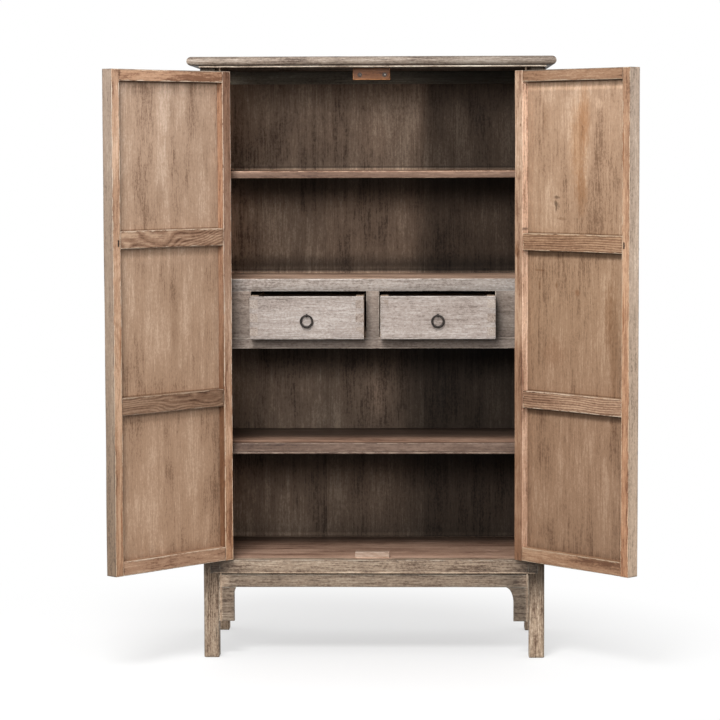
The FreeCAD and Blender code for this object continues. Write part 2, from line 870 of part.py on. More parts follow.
def carcass():
    nodes = {}
    rails = {
        "front": front_rail(),
        "side": end_rail(rail_bottom, rail_top),
        "upper side": end_rail(upper_rail_bottom, top_underside),
        "rear": rear_rail(rail_bottom, rail_top),
        "upper rear": rear_rail(upper_rail_bottom, top_underside),
    }
    panel = side_panel()
    backs = back_boards()
    front_leg = without(leg(True), rails["front"], rails["side"], rails["upper side"], panel)
    rear_leg = without(
        leg(False), rails["side"], rails["upper side"], rails["rear"], rails["upper rear"], panel, backs[-1]
    )
    legs = [front_leg, rear_leg, mirrored(front_leg), mirrored(rear_leg)]
    nodes["leg_front_right"], nodes["leg_rear_right"] = [front_leg], [rear_leg]
    nodes["leg_front_left"], nodes["leg_rear_left"] = [legs[2]], [legs[3]]

    floor = floor_board(legs)
    sockets = pin_sockets()
    nodes["floor_board"] = [floor]
    nodes["bottom_rail_front"] = [without(rails["front"], floor, *sockets)]
    side_rail = without(rails["side"], floor, panel)
    rear_rail_low = without(rails["rear"], floor, *backs)
    nodes["bottom_rails"] = [side_rail, mirrored(side_rail), rear_rail_low]
    upper_side = without(rails["upper side"], panel)
    nodes["upper_rails"] = [upper_side, mirrored(upper_side), without(rails["upper rear"], *backs)]
    nodes["side_panels"] = [panel, mirrored(panel)]
    nodes["back_boards"] = backs

    nodes["apron_front"] = [apron()]
    nodes["bracket_front_left"] = [mirrored(bracket(tight_corner()))]
    nodes["bracket_front_right"] = [bracket(cove_corner())]
    nodes["aprons_side"] = [side_apron(), mirrored(side_apron())]
    turned = side_brackets()
    nodes["brackets_side"] = turned + [mirrored(piece) for piece in turned]

    nodes["shelf_upper"] = [upper_shelf(legs)]
    board, lip = lower_shelf(legs)
    nodes["shelf_lower"], nodes["shelf_lower_lip"] = [board], [lip]
    nodes["shelf_cleats"] = cleats()

    stiles = face_stiles()
    boards = case_boards(legs)
    rails = [without(rail, *boards) for rail in face_rails(stiles)]
    nodes["drawer_case_stiles"] = stiles
    nodes["drawer_case_rails"] = rails
    nodes["drawer_case_boards"] = boards
    nodes["drawer_divider"] = [divider()]
    nodes["drawer_runners"] = runners()

    discs = catch_discs()
    upper_stop, lower_stop = door_stops()
    nodes["door_stop_upper"] = [without(upper_stop, *discs)]
    nodes["door_stop_lower"] = [lower_stop]
    nodes["catch_discs"] = discs

    cover = top_panel()
    front, rear, ends = top_frame(cover, legs)
    nodes["top_frame_front"] = [without(front, *sockets)]
    nodes["top_frame_rear"] = [rear]
    nodes["top_frame_ends"] = [without(end, *sockets) for end in ends]
    nodes["top_panel"] = [cover]
    return nodes


def whole_cabinet():
    nodes = carcass()
    for name, solids in door(left_batten_shares, left_pull_share).items():
        nodes["door_left_" + name] = solids
    for name, solids in door(right_batten_shares, right_pull_share).items():
        nodes["door_right_" + name] = [mirrored(solid) for solid in solids]
    for name, solids in drawer(left_drawer_left, left_drawer_right).items():
        nodes["drawer_left_" + name] = solids
    for name, solids in drawer(right_drawer_left, right_drawer_right).items():
        nodes["drawer_right_" + name] = solids
    return nodes


def middle_y():
    """The middle of the whole cabinet from the open doors' free inner corners to the top's rear edge."""
    turn = math.radians(door_angle_degrees)
    along = hinge_edge - pin_x
    reach = door_width - along - board_easing
    across = door_thickness - pin_face_distance - board_easing
    front = pin_y - reach * math.sin(turn) + across * math.cos(turn) - board_easing
    return (front + carcass_depth + top_overhang_back) / 2


def main():
    os.makedirs("parts", exist_ok=True)
    shift = FreeCAD.Vector(0, -middle_y(), 0)
    for name, solids in whole_cabinet().items():
        flat = [solid for shape in solids for solid in shape.Solids]
        node = Part.makeCompound(flat) if len(flat) > 1 else flat[0]
        node.translate(shift)
        for solid in node.Solids:
            if not solid.isValid():
                print("not valid:", name)
        node.exportStep(os.path.join("parts", name + ".step"))
    print("origin lies", round(middle_y(), 4), "behind the legs' front face")


main()
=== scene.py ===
import json
import math
import bpy
import numpy as np
from mathutils import Matrix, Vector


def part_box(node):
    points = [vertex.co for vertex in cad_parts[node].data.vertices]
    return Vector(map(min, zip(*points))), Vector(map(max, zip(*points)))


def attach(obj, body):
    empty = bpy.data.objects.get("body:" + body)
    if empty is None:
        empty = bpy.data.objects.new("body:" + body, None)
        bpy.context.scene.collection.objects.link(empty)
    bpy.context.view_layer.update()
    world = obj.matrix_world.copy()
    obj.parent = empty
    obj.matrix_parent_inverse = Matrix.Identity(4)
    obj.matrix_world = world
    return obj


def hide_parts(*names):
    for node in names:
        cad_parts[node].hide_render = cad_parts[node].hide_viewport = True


# A tall weathered cabinet with its doors and drawers open, all in metres

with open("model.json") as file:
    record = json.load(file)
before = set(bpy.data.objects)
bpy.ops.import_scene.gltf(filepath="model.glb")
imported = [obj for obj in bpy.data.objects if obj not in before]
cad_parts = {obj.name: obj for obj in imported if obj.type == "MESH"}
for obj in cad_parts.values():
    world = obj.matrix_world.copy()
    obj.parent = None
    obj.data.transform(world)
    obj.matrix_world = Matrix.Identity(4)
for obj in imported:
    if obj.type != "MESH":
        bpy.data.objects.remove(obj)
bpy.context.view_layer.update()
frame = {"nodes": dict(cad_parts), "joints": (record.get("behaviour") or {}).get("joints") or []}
nodes = frame["nodes"]
dice = np.random.default_rng(11)


def boxOf(name):
    return [np.array(corner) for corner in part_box(name)]


legLow, legHigh = boxOf("leg_front_right")
rearLow, rearHigh = boxOf("leg_rear_right")
railBottom, railTop = (corner[2] for corner in boxOf("bottom_rails"))
frontFace, rearFace = legLow[1], rearHigh[1]
legInner, halfWidth = legLow[0], legHigh[0]
underTop = boxOf("top_frame_front")[0][2]


def bothSides(near, far):
    # Each side's sign and its span of x between two distances from the middle.
    return [(side, sorted((side * near, side * far))) for side in (-1, 1)]


def within(low, high, x=None, y=None, z=None):
    # The corners of a box, with some of its spans replaced.
    return zip(*(span or own for span, own in zip((x, y, z), zip(low, high))))


def addObject(name, data):
    thing = bpy.data.objects.new(name, data)
    bpy.context.scene.collection.objects.link(thing)
    return thing


def axesOf(ahead):
    side = np.cross(ahead, (0, 0, 1))
    side /= np.linalg.norm(side)
    return side, np.cross(side, ahead)


def setAxes(thing, right, up, ahead, place):
    rows = [[right[i], up[i], -ahead[i], place[i]] for i in range(3)]
    thing.matrix_world = Matrix(rows + [[0, 0, 0, 1]])


# Camera, set where the photograph was taken from
view = {"place": (0.15786, -7.96675 + frontFace, 1.52773), "yaw": -1.41954, "down": 4.5105, "roll": -0.16164,
        "lens": 133.9106, "sensor": 36.0}


def setCamera(view):
    yaw, down, roll = (math.radians(view[key]) for key in ("yaw", "down", "roll"))
    ahead = np.array([math.sin(yaw) * math.cos(down), math.cos(yaw) * math.cos(down), -math.sin(down)])
    side, over = axesOf(ahead)
    data = bpy.data.cameras.new("camera")
    data.lens, data.sensor_width, data.clip_end = view["lens"], view["sensor"], 100
    camera = addObject("camera", data)
    right = side * math.cos(roll) + over * math.sin(roll)
    setAxes(camera, right, over * math.cos(roll) - side * math.sin(roll), ahead, view["place"])
    bpy.context.scene.camera = camera


setCamera(view)
print("camera set")

# Boards, worked out on a grid
alongX, alongY, alongZ = range(3)
mill = {"arc": 4, "most": 0.9, "guard": 0.004, "near": 0.003,
        "pace": [[9.0, 4.0, 5.0], [5.0, 8.0, 6.0], [7.0, 5.0, 4.0]]}
fields = {"grain": "FLOAT_VECTOR", "room": "FLOAT_VECTOR", "spot": "FLOAT_VECTOR", "finish": "FLOAT",
          "tone": "FLOAT_VECTOR"}


def gridQuads(rows, count, wrapped=False):
    # Quads between neighbouring rows of closed outlines with count points; wrapped joins the last row to
    # the first.
    row, column = np.meshgrid(np.arange(rows if wrapped else rows - 1), np.arange(count), indexing="ij")
    here, there, following = row * count, (row + 1) % rows * count, (column + 1) % count
    return np.stack([here + column, there + column, there + following, here + following], -1).reshape(-1, 4)


def cornerProfile(half, inset, radii, shares):
    # A rounded rectangle at each station, taken in by inset: its corners are arcs, corner centre plus
    # radius times (cosine, sine), and the flats between them are straight, divided at the given shares.
    a, b = (np.maximum(size - inset, 0)[:, None] for size in half)
    turn = np.linspace(0, math.pi / 2, mill["arc"])
    arcs = []
    for k, (signA, signB) in enumerate(((1, 1), (-1, 1), (-1, -1), (1, -1))):
        r = np.minimum(np.maximum(radii[k] - inset, 0)[:, None], np.minimum(a, b))
        angle = turn + k * math.pi / 2
        arcs.append(np.stack([signA * (a - r) + r * np.cos(angle), signB * (b - r) + r * np.sin(angle)], -1))
    parts = []
    for k in range(4):
        start, end = arcs[k][:, -1:], arcs[(k + 1) % 4][:, :1]
        parts += [arcs[k], start + (end - start) * np.array(shares)[None, :, None]]
    return np.concatenate(parts, 1)


def board(low, high, along, radii=0.0015, ends=0.0015, steps=14, wave=0.0003, bend=None, figure=None,
          cut=None, columns=1, unworn=(), at=()):
    # A board with its grain along one axis: at each station a rounded rectangle, which over the ends shrinks
    # along a quarter circle and closes to its middle line. at gives further stations.
    low, high = np.array(low, float), np.array(high, float)
    middle, half = (low + high) / 2, (high - low) / 2
    a, b = (along + 1) % 3, (along + 2) % 3
    small, length = min(half[a], half[b]), 2 * half[along]
    ends = min(ends, small * mill["most"], half[along] * mill["most"])
    curve = np.linspace(0, math.pi / 2, mill["arc"])
    capInset = np.concatenate([np.linspace(small, ends, 4)[:-1], ends * (1 - np.sin(curve))])
    capPlace = np.concatenate([np.zeros(3), ends * (1 - np.cos(curve))])
    run = np.linspace(capPlace[-1], length - capPlace[-1], steps + 2)[1:-1]
    guard = min(mill["guard"], half[along] * 0.2)
    extra = [ends + guard, half[along], length - ends - guard, *(np.array(at, float) - low[along])]
    run = np.sort(np.concatenate([run, extra]))
    inset = np.concatenate([capInset, np.zeros(len(run)), capInset[::-1]])
    place = np.concatenate([capPlace, run, length - capPlace[::-1]]) - half[along]
    near = min(0.3, mill["near"] / (max(half[a], half[b]) * 2))
    inner = min(0.35, 4 * near)
    flats = np.concatenate([[near], np.linspace(inner, 1 - inner, 2 * columns + 1), [1 - near]])
    profile = cornerProfile((half[a], half[b]), inset, [radii] * 4 if np.isscalar(radii) else radii, flats)
    points = np.zeros(profile.shape[:2] + (3,))
    points[..., along] = place[:, None]
    points[..., [a, b]] = profile
    quads = np.roll(gridQuads(*points.shape[:2])[:, ::-1], 1, 1)
    points = points.reshape(-1, 3)
    room = np.maximum(half - np.abs(points), 0)
    room[:, list(unworn)] = 1.0
    nearest = np.argmin((half - np.abs(points)) / half.min(), axis=1)
    facing = np.where(np.arange(3) == nearest[:, None], np.sign(points), 0.0)
    points = points + middle
    first = along if figure is None else figure
    grain = points[:, [first, (first + 1) % 3, (first + 2) % 3]]
    grain = grain + (dice.uniform(-9, 9, 3) if cut is None else cut)
    if wave:
        phase, pace = dice.uniform(0, 6.28, (3, 3)), np.array(mill["pace"])
        points = points + wave * np.sin(points @ pace.T + phase[0]) * np.cos(points @ pace * 1.7 + phase[1])
    points = bend(points) if bend else points
    return {"points": points, "quads": quads, "grain": grain, "room": room, "facing": facing}


def closed(part):
    # Merges the points that lie together and drops the faces that this leaves without area.
    key = np.round(part["points"] * 1e6).astype(np.int64)
    _, first, again = np.unique(key, axis=0, return_index=True, return_inverse=True)
    quads = again.reshape(-1)[part["quads"]]
    faces = np.concatenate([quads[:, [0, 1, 2]], quads[:, [0, 2, 3]]])
    full = (faces != np.roll(faces, 1, 1)).all(1)
    return {"faces": faces[full]} | {key: part[key][first] for key in ("points", *fields)}


def piece(name, parts, material, replaced=None, body="carcass", finish=None, tone=None, place=None,
          mirror=False):
    # One mesh of several boards. finish picks the outer colour from (points, facing), tone the shade: painted
    # light and shade, and the wood's own tone.
    made, start = [], 0
    for part in parts:
        count = len(part["points"])
        part["finish"] = finish(part["points"], part["facing"]) if finish else np.zeros(count)
        shade = np.ones((count, 3)) * (1 + dice.uniform(-0.04, 0.04))
        part["tone"] = shade * tone(part["points"], part["facing"]) if tone else shade
        part["spot"] = part["points"]
        part["points"] = place(part["points"]) if place else part["points"]
        part = closed(part)
        part["faces"] = (part["faces"][:, ::-1] if mirror else part["faces"]) + start
        made.append(part)
        start += len(part["points"])
    joined = {key: np.concatenate([part[key] for part in made]) for key in ("points", "faces", *fields)}
    mesh = bpy.data.meshes.new(name + "_wood")
    mesh.from_pydata(joined["points"], [], joined["faces"])
    for key, kind in fields.items():
        layer = mesh.attributes.new(key, kind, "POINT")
        layer.data.foreach_set("value" if kind == "FLOAT" else "vector",
                               joined[key].astype(np.float32).ravel())
    mesh.polygons.foreach_set("use_smooth", np.ones(len(joined["faces"]), bool))
    mesh.materials.append(material)
    mesh.update()
    thing = addObject(name + "_wood", mesh)
    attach(thing, body)
    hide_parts(replaced or name)


def refinish(name, material):
    nodes[name].data.materials.clear()
    nodes[name].data.materials.append(material)


# Finishes. What several of them share is a node group with named sockets


def node(tree, kind, inputs=None, **settings):
    made = tree.nodes.new("ShaderNode" + kind)
    for key, value in settings.items():
        setattr(made, key, value)
    for key, value in (inputs or {}).items():
        if isinstance(value, bpy.types.NodeSocket):
            tree.links.new(value, made.inputs[key])
        else:
            made.inputs[key].default_value = value
    return made


def calc(tree, operation, *values, clamp=False):
    return node(tree, "Math", dict(enumerate(values)), operation=operation, use_clamp=clamp).outputs[0]


def vectorMath(tree, operation, *values):
    return node(tree, "VectorMath", dict(enumerate(values)), operation=operation).outputs


def attribute(tree, name, output="Vector"):
    return node(tree, "Attribute", attribute_name=name).outputs[output]


def distanceTo(tree, place, centre, scale=(1, 1, 1)):
    gap = vectorMath(tree, "MULTIPLY", vectorMath(tree, "SUBTRACT", place, centre)[0], scale)[0]
    return vectorMath(tree, "LENGTH", gap)["Value"]


def blendColour(tree, share, first, second, kind="MIX"):
    return node(tree, "Mix", {0: share, 6: first, 7: second}, data_type="RGBA", blend_type=kind).outputs[2]


def spread(tree, value, low, high, toLow=0.0, toHigh=1.0):
    values = {0: value, 1: low, 2: high, 3: toLow, 4: toHigh}
    return node(tree, "MapRange", values, interpolation_type="SMOOTHSTEP").outputs[0]


def stretchedNoise(tree, vector, scale, detail=3.0, rough=0.55):
    moved = vectorMath(tree, "MULTIPLY", vector, scale)[0]
    values = {"Vector": moved, "Scale": 1.0, "Detail": detail, "Roughness": rough, "Distortion": 0.0}
    return node(tree, "TexNoise", values).outputs[0]


def newGroup(name, inputs, outputs):
    # inputs gives each socket's kind, or a number's value.
    tree = bpy.data.node_groups.new(name, "ShaderNodeTree")
    for label, value in inputs.items():
        kind = value if isinstance(value, str) else "Float"
        socket = tree.interface.new_socket(label, in_out="INPUT", socket_type="NodeSocket" + kind)
        if kind == "Float":
            socket.default_value = value
    for label, kind in outputs.items():
        tree.interface.new_socket(label, in_out="OUTPUT", socket_type="NodeSocket" + kind)
    return tree, tree.nodes.new("NodeGroupInput").outputs, tree.nodes.new("NodeGroupOutput").inputs


def newMaterial(name):
    material = bpy.data.materials.new(name)
    material.use_nodes = True
    return material, material.node_tree, material.node_tree.nodes["Principled BSDF"]


def rgb(red, green, blue):
    # A colour as seen on screen, from 0 to 255, as the linear one that the shader wants.
    shown = np.array([red, green, blue]) / 255
    linear = np.where(shown <= 0.04045, shown / 12.92, ((shown + 0.055) / 1.055) ** 2.4)
    return (*linear.tolist(), 1.0)


# Each finish: its colours as seen, from dark to light and where rubbed, then what differs from the plain
# figure
weights = ("Fibres", "Streaks", "Bands", "Mottle", "Clouds", "Rings")
tones = ("Dark", "Middle", "Light", "Rubbed")
plain = {"Fibres": 0.35, "Streaks": 0.3, "Bands": 0.1, "Mottle": 0.25, "Clouds": 0.3, "Rings": 0.0,
         "Pits": 0.25, "Cracks": 0.0, "RingCount": 55.0, "RingSway": 3.0, "RubbedWidth": 0.001, "Dirt": 0.0,
         "DirtFrom": 0.0, "DirtWidth": 0.012, "Roughness": 0.6}


def look(*colours, **values):
    return plain | {label: rgb(*colour) for label, colour in zip(tones, colours)} | values


finishes = {
    "greyWash": look((92, 72, 58), (156, 135, 115), (192, 173, 152), (212, 196, 176), Fibres=0.62,
                     Streaks=0.34, Mottle=0.4, Clouds=0.36, Pits=0.4, Cracks=0.5, Dirt=0.5,
                     RubbedWidth=0.0016, DirtWidth=0.004),
    "greyEdge": look((104, 90, 79), (160, 142, 126), (188, 172, 156), (188, 172, 156), Fibres=0.3, Mottle=0.3,
                     Cracks=0.3, Dirt=0.7, RubbedWidth=0.0, DirtWidth=0.0016),
    "paleWash": look((132, 117, 107), (172, 158, 148), (200, 189, 180), (240, 228, 217), Fibres=0.42,
                     Streaks=0.25, Mottle=0.5, Pits=0.35, Clouds=0.4, Dirt=0.3, RubbedWidth=0.0018,
                     DirtWidth=0.006),
    "warmFrame": look((116, 80, 59), (171, 132, 105), (203, 166, 138), (236, 208, 182), Fibres=0.42,
                      Streaks=0.4, Bands=0.35, Rings=0.18, Clouds=0.55, Dirt=0.45, Roughness=0.52,
                      RubbedWidth=0.0022, DirtWidth=0.003),
    "brownPanel": look((124, 95, 74), (174, 143, 118), (204, 175, 151), (198, 170, 146), Fibres=0.34,
                       Streaks=0.2, Bands=0.18, Mottle=0.26, Clouds=0.45, Pits=0.1, Dirt=0.3, Roughness=0.56,
                       RubbedWidth=0.0, DirtFrom=0.006, DirtWidth=0.014),
    "ringedBatten": look((92, 62, 45), (148, 114, 90), (188, 154, 126), (234, 206, 178), Streaks=0.4,
                         Rings=0.5, Clouds=0.35, Dirt=0.5, Roughness=0.5, RingCount=95.0, RingSway=5.5,
                         RubbedWidth=0.0022, DirtWidth=0.003),
    "straightBatten": look((92, 62, 45), (148, 114, 90), (188, 154, 126), (240, 212, 184), Fibres=0.3,
                           Rings=0.6, Dirt=0.5, Roughness=0.5, RingCount=170.0, RingSway=0.9,
                           RubbedWidth=0.0022, DirtWidth=0.003),
    # darkInside is dark partly as the inner boards' own stain and partly as painted shade
    "darkInside": look((79, 64, 54), (132, 112, 96), (172, 152, 133), (172, 152, 133), Fibres=0.3,
                       Streaks=0.22, Bands=0.14, Mottle=0.28, Clouds=0.5, Roughness=0.7, RubbedWidth=0.0),
    "redShelf": look((100, 72, 58), (148, 118, 100), (182, 150, 130), (212, 184, 162), Streaks=0.4, Bands=0.3,
                     Rings=0.15, Clouds=0.5, Roughness=0.5, RubbedWidth=0.0015),
    "bareWood": look((144, 116, 94), (184, 158, 136), (206, 184, 162), (214, 194, 172), Rings=0.3,
                     Roughness=0.65),
}


def makeFigureGroup():
    # The wood's own pattern, all stretched along the grain: fibres, streaks, a finer mottle, clouds and
    # year rings. The rings are a sine of the place across the board, bent by a slow noise.
    tree, given, wanted = newGroup("woodFigure", {"Board": "Vector", "RingCount": 55.0, "RingSway": 3.0},
                                   dict.fromkeys((*weights, "Pits", "Cracks"), "Float"))
    board = given["Board"]

    def give(label, scale, detail, rough, low=0.3, high=0.7):
        tree.links.new(spread(tree, stretchedNoise(tree, board, scale, detail, rough), low, high),
                       wanted[label])

    give("Fibres", (15.0, 290.0, 290.0), 3.0, 0.65)
    give("Streaks", (3.0, 60.0, 60.0), 4.0, 0.6)
    give("Bands", (0.9, 20.0, 20.0), 2.0, 0.5)
    give("Mottle", (110.0, 170.0, 170.0), 4.0, 0.75, 0.34, 0.66)
    give("Clouds", (3.5, 8.0, 8.0), 4.0, 0.6)
    give("Pits", (55.0, 520.0, 520.0), 1.0, 0.5, 0.60, 0.72)
    across = vectorMath(tree, "DOT_PRODUCT", board, (0.0, 0.5, 0.87))["Value"]
    sway = stretchedNoise(tree, board, (4.0, 9.0, 9.0), 1.0, 0.4)
    wander = stretchedNoise(tree, board, (9.0, 60.0, 60.0), 2.0, 0.5)
    line = calc(tree, "MULTIPLY_ADD", across, given["RingCount"], calc(tree, "MULTIPLY", wander, 0.8))
    phase = calc(tree, "MULTIPLY_ADD", sway, calc(tree, "MULTIPLY", given["RingSway"], 3.0), line)
    wave = calc(tree, "SINE", calc(tree, "MULTIPLY", phase, 2 * math.pi))
    tree.links.new(calc(tree, "POWER", calc(tree, "MULTIPLY_ADD", wave, 0.5, 0.5), 0.6), wanted["Rings"])
    crack = calc(tree, "SUBTRACT", stretchedNoise(tree, board, (4.0, 75.0, 75.0), 2.0), 0.5)
    crack = spread(tree, calc(tree, "ABSOLUTE", crack), 0.0, 0.014, 1.0, 0.0)
    sparse = spread(tree, stretchedNoise(tree, board, (11.0, 30.0, 30.0), 1.0), 0.5, 0.62)
    tree.links.new(calc(tree, "MULTIPLY", crack, sparse), wanted["Cracks"])
    return tree


def makeRimGroup():
    # Distance to the nearest arris: of the three distances to a board's faces, the second smallest.
    tree, given, wanted = newGroup("rimDistance", {"Room": "Vector"}, {"Rim": "Float"})
    x, y, z = node(tree, "SeparateXYZ", {0: given["Room"]}).outputs
    low, high = calc(tree, "MINIMUM", x, y), calc(tree, "MAXIMUM", x, y)
    tree.links.new(calc(tree, "MAXIMUM", low, calc(tree, "MINIMUM", high, z)), wanted["Rim"])
    return tree


def makeStainGroup():
    # Stained wood: from dark to light by the weighted figure, then pits and cracks darker, the arrises
    # rubbed light, and dirt and painted shade that fade out with the distance from the edges.
    tree, given, wanted = newGroup(
        "stainedWood", {"Board": "Vector", "Rim": 1.0} | dict.fromkeys(tones, "Color") | plain,
        {"Color": "Color", "Roughness": "Float", "Height": "Float"})
    board = given["Board"]
    inputs = {label: given[label] for label in ("Board", "RingCount", "RingSway")}
    figure = node(tree, "Group", inputs, node_tree=figureGroup).outputs
    level = 0.5
    for label in weights:
        level = calc(tree, "MULTIPLY_ADD", calc(tree, "SUBTRACT", figure[label], 0.5), given[label], level)
    colour = blendColour(tree, spread(tree, level, 0.0, 0.5), given["Dark"], given["Middle"])
    colour = blendColour(tree, spread(tree, level, 0.5, 1.0), colour, given["Light"])
    pits, cracks = (calc(tree, "MULTIPLY", figure[label], given[label]) for label in ("Pits", "Cracks"))
    ragged = stretchedNoise(tree, board, (28.0, 60.0, 60.0), 4.0, 0.7)
    reach = calc(tree, "MULTIPLY", given["RubbedWidth"], spread(tree, ragged, 0.35, 0.65, 0.3, 1.7))
    rubbed = spread(tree, calc(tree, "SUBTRACT", reach, given["Rim"]), 0.0, 0.0008)
    colour = blendColour(tree, rubbed, colour, given["Rubbed"])
    outward = calc(tree, "SUBTRACT", given["DirtFrom"], given["Rim"])
    patchy = calc(tree, "MULTIPLY", given["DirtWidth"], spread(tree, ragged, 0.3, 0.7, 0.2, 1.8))
    dirtAndShade = calc(tree, "EXPONENT", calc(tree, "DIVIDE", outward, patchy), clamp=True)
    for share in (pits, cracks, calc(tree, "MULTIPLY", dirtAndShade, given["Dirt"])):
        colour = blendColour(tree, 1.0, colour, calc(tree, "SUBTRACT", 1.0, share, clamp=True), "MULTIPLY")
    tree.links.new(colour, wanted["Color"])
    rough = calc(tree, "MULTIPLY_ADD", figure["Streaks"], -0.1, given["Roughness"])
    tree.links.new(calc(tree, "MULTIPLY_ADD", rubbed, -0.06, rough, clamp=True), wanted["Roughness"])
    height = calc(tree, "MULTIPLY_ADD", figure["Rings"], 0.15, calc(tree, "MULTIPLY", figure["Fibres"], 0.5))
    height = calc(tree, "MULTIPLY_ADD", figure["Mottle"], 0.3, height)
    height = calc(tree, "MULTIPLY_ADD", calc(tree, "MAXIMUM", pits, cracks), -1.0, height)
    tree.links.new(height, wanted["Height"])
    return tree


figureGroup, rimGroup = makeFigureGroup(), makeRimGroup()
stainGroup = makeStainGroup()


def drawMarks(tree, colour, marks):
    # Stains, knots and holes, and the painted shade and light lines: each darkens or lightens an ellipse
    # around its place on the closed door, its edge softened and made ragged by a noise.
    spot = attribute(tree, "spot")
    ragged = calc(tree, "SUBTRACT", stretchedNoise(tree, spot, (160.0, 160.0, 60.0), 3.0, 0.6), 0.5)
    within = calc(tree, "SUBTRACT", 1.0, attribute(tree, "finish", "Fac"))
    for x, z, wide, high, *factor, rough in marks:
        far = distanceTo(tree, spot, (x, 0.0, z), (1 / wide, 0.0, 1 / high))
        level = calc(tree, "MULTIPLY_ADD", ragged, rough, calc(tree, "SUBTRACT", 1.0, far))
        share = calc(tree, "MULTIPLY", spread(tree, level, 0.0, 0.8), within)
        colour = blendColour(tree, 1.0, colour, blendColour(tree, share, (1, 1, 1, 1), (*factor, 1)),
                             "MULTIPLY")
    return colour


def woodMaterial(name, inner, outer=None, fromObject=False, marks=()):
    # inner is the finish all over, or outer's where the piece's finish attribute says so.
    material, tree, shader = newMaterial(name)
    shader.inputs["Specular IOR Level"].default_value = 0.12 if inner == "darkInside" else 0.3
    values = dict(finishes[inner])
    if outer:
        share = attribute(tree, "finish", "Fac")
        for label, value in finishes[outer].items():
            if value != values[label]:
                if isinstance(value, tuple):
                    values[label] = blendColour(tree, share, values[label], value)
                else:
                    values[label] = spread(tree, share, 0.0, 1.0, values[label], value)
    if fromObject:
        values["Board"] = node(tree, "TexCoord").outputs["Object"]
    else:
        values["Board"] = attribute(tree, "grain")
        values["Rim"] = node(tree, "Group", {"Room": attribute(tree, "room")},
                             node_tree=rimGroup).outputs["Rim"]
    made = node(tree, "Group", values, node_tree=stainGroup).outputs
    colour = made["Color"]
    # The tone attribute multiplies in the painted light and shade and each board's own tone
    if not fromObject:
        colour = blendColour(tree, 1.0, colour, attribute(tree, "tone"), "MULTIPLY")
    colour = drawMarks(tree, colour, marks) if marks else colour
    bumped = node(tree, "Bump", {"Height": made["Height"], "Distance": 0.0005, "Strength": 0.5})
    tree.links.new(colour, shader.inputs["Base Color"])
    tree.links.new(made["Roughness"], shader.inputs["Roughness"])
    tree.links.new(bumped.outputs[0], shader.inputs["Normal"])
    return material


# Doors' sizes and marks, on the left door as it lies closed
doorSizes = {"hingeEdge": legInner - 0.002, "proud": 0.003, "thickness": 0.041, "width": legInner - 0.003,
             "hingeStile": 0.032, "freeStile": 0.030, "topRail": 0.0333, "bottomRail": 0.041,
             "panelBack": 0.006, "panelThickness": 0.012, "batten": (0.051, 0.003), "open": 132.7,
             "battens": {"left": (0.3185, 0.6477), "right": (0.3154, 0.6367)}}
doorMarks = {  # x, z, half width, half height, the three colour factors, raggedness
    ("left", "frame"): [
        (-0.022, 1.258, 0.005, 0.005, 0.25, 0.2, 0.18, 0.6),
        (-0.034, 1.745, 0.004, 0.012, 0.35, 0.3, 0.28, 1.2),
        (-0.026, 0.96, 0.005, 0.10, 0.72, 0.58, 0.48, 1.6),
        (-0.025, 0.45, 0.005, 0.08, 0.74, 0.6, 0.5, 1.6),
    ],
    ("left", "panel"): [
        (-0.166, 1.590, 0.08, 0.16, 1.08, 1.09, 1.1, 0.8),
        (-0.252, 1.640, 0.016, 0.05, 0.8, 0.77, 0.74, 1.0),
        (-0.381, 1.525, 0.03, 0.16, 0.93, 0.92, 0.91, 1.0),
        (-0.202, 1.395, 0.03, 0.06, 0.86, 0.84, 0.82, 1.0),
        (-0.255, 1.02, 0.02, 0.17, 0.86, 0.84, 0.82, 1.0),
    ],
    ("right", "frame"): [
        (-0.022, 1.251, 0.005, 0.005, 0.25, 0.2, 0.18, 0.6),
        (-0.027, 1.52, 0.004, 0.14, 0.74, 0.6, 0.5, 1.6),
        (-0.024, 1.05, 0.004, 0.12, 0.78, 0.66, 0.56, 1.6),
        (-0.430, 1.290, 0.004, 0.008, 0.12, 0.1, 0.1, 0.4),
        (-0.441, 1.596, 0.005, 0.007, 0.5, 0.42, 0.36, 0.8),
        (-0.455, 1.226, 0.016, 0.03, 0.6, 0.5, 0.42, 1.6),
        (-0.450, 1.18, 0.005, 0.09, 0.6, 0.5, 0.42, 1.4),
    ],
    ("right", "panel"): [
        (-0.200, 1.62, 0.030, 0.12, 0.96, 0.84, 0.72, 1.0),
        (-0.225, 1.53, 0.050, 0.18, 0.90, 0.80, 0.69, 1.0),
        (-0.212, 1.40, 0.034, 0.10, 0.82, 0.72, 0.62, 1.2),
        (-0.146, 1.655, 0.024, 0.03, 1.3, 1.36, 1.42, 1.0),
        (-0.314, 1.362, 0.012, 0.022, 0.38, 0.36, 0.34, 2.4),
        (-0.312, 1.384, 0.016, 0.006, 0.45, 0.42, 0.4, 2.4),
        (-0.292, 1.322, 0.03, 0.006, 0.75, 0.7, 0.66, 1.6),
        (-0.383, 1.169, 0.03, 0.004, 0.7, 0.6, 0.52, 1.6),
        (-0.383, 1.124, 0.006, 0.02, 0.6, 0.5, 0.42, 1.0),
        (-0.313, 1.127, 0.006, 0.014, 0.66, 0.56, 0.48, 1.0),
        (-0.227, 1.107, 0.016, 0.014, 0.78, 0.66, 0.58, 1.6),
        (-0.103, 1.05, 0.024, 0.16, 0.74, 0.66, 0.59, 1.2),
        (-0.08, 0.95, 0.03, 0.3, 0.8, 0.74, 0.68, 1.0),
        (-0.320, 0.93, 0.07, 0.06, 0.86, 0.8, 0.76, 1.4),
        (-0.360, 1.61, 0.016, 0.07, 0.8, 0.76, 0.72, 1.2),
    ],
}
doorLow, doorHigh = (corner[2] for corner in boxOf("door_left_free_stile"))
doorEdge = -doorSizes["hingeEdge"]
doorField = (doorEdge + doorSizes["hingeStile"], doorEdge + doorSizes["width"] - doorSizes["freeStile"])


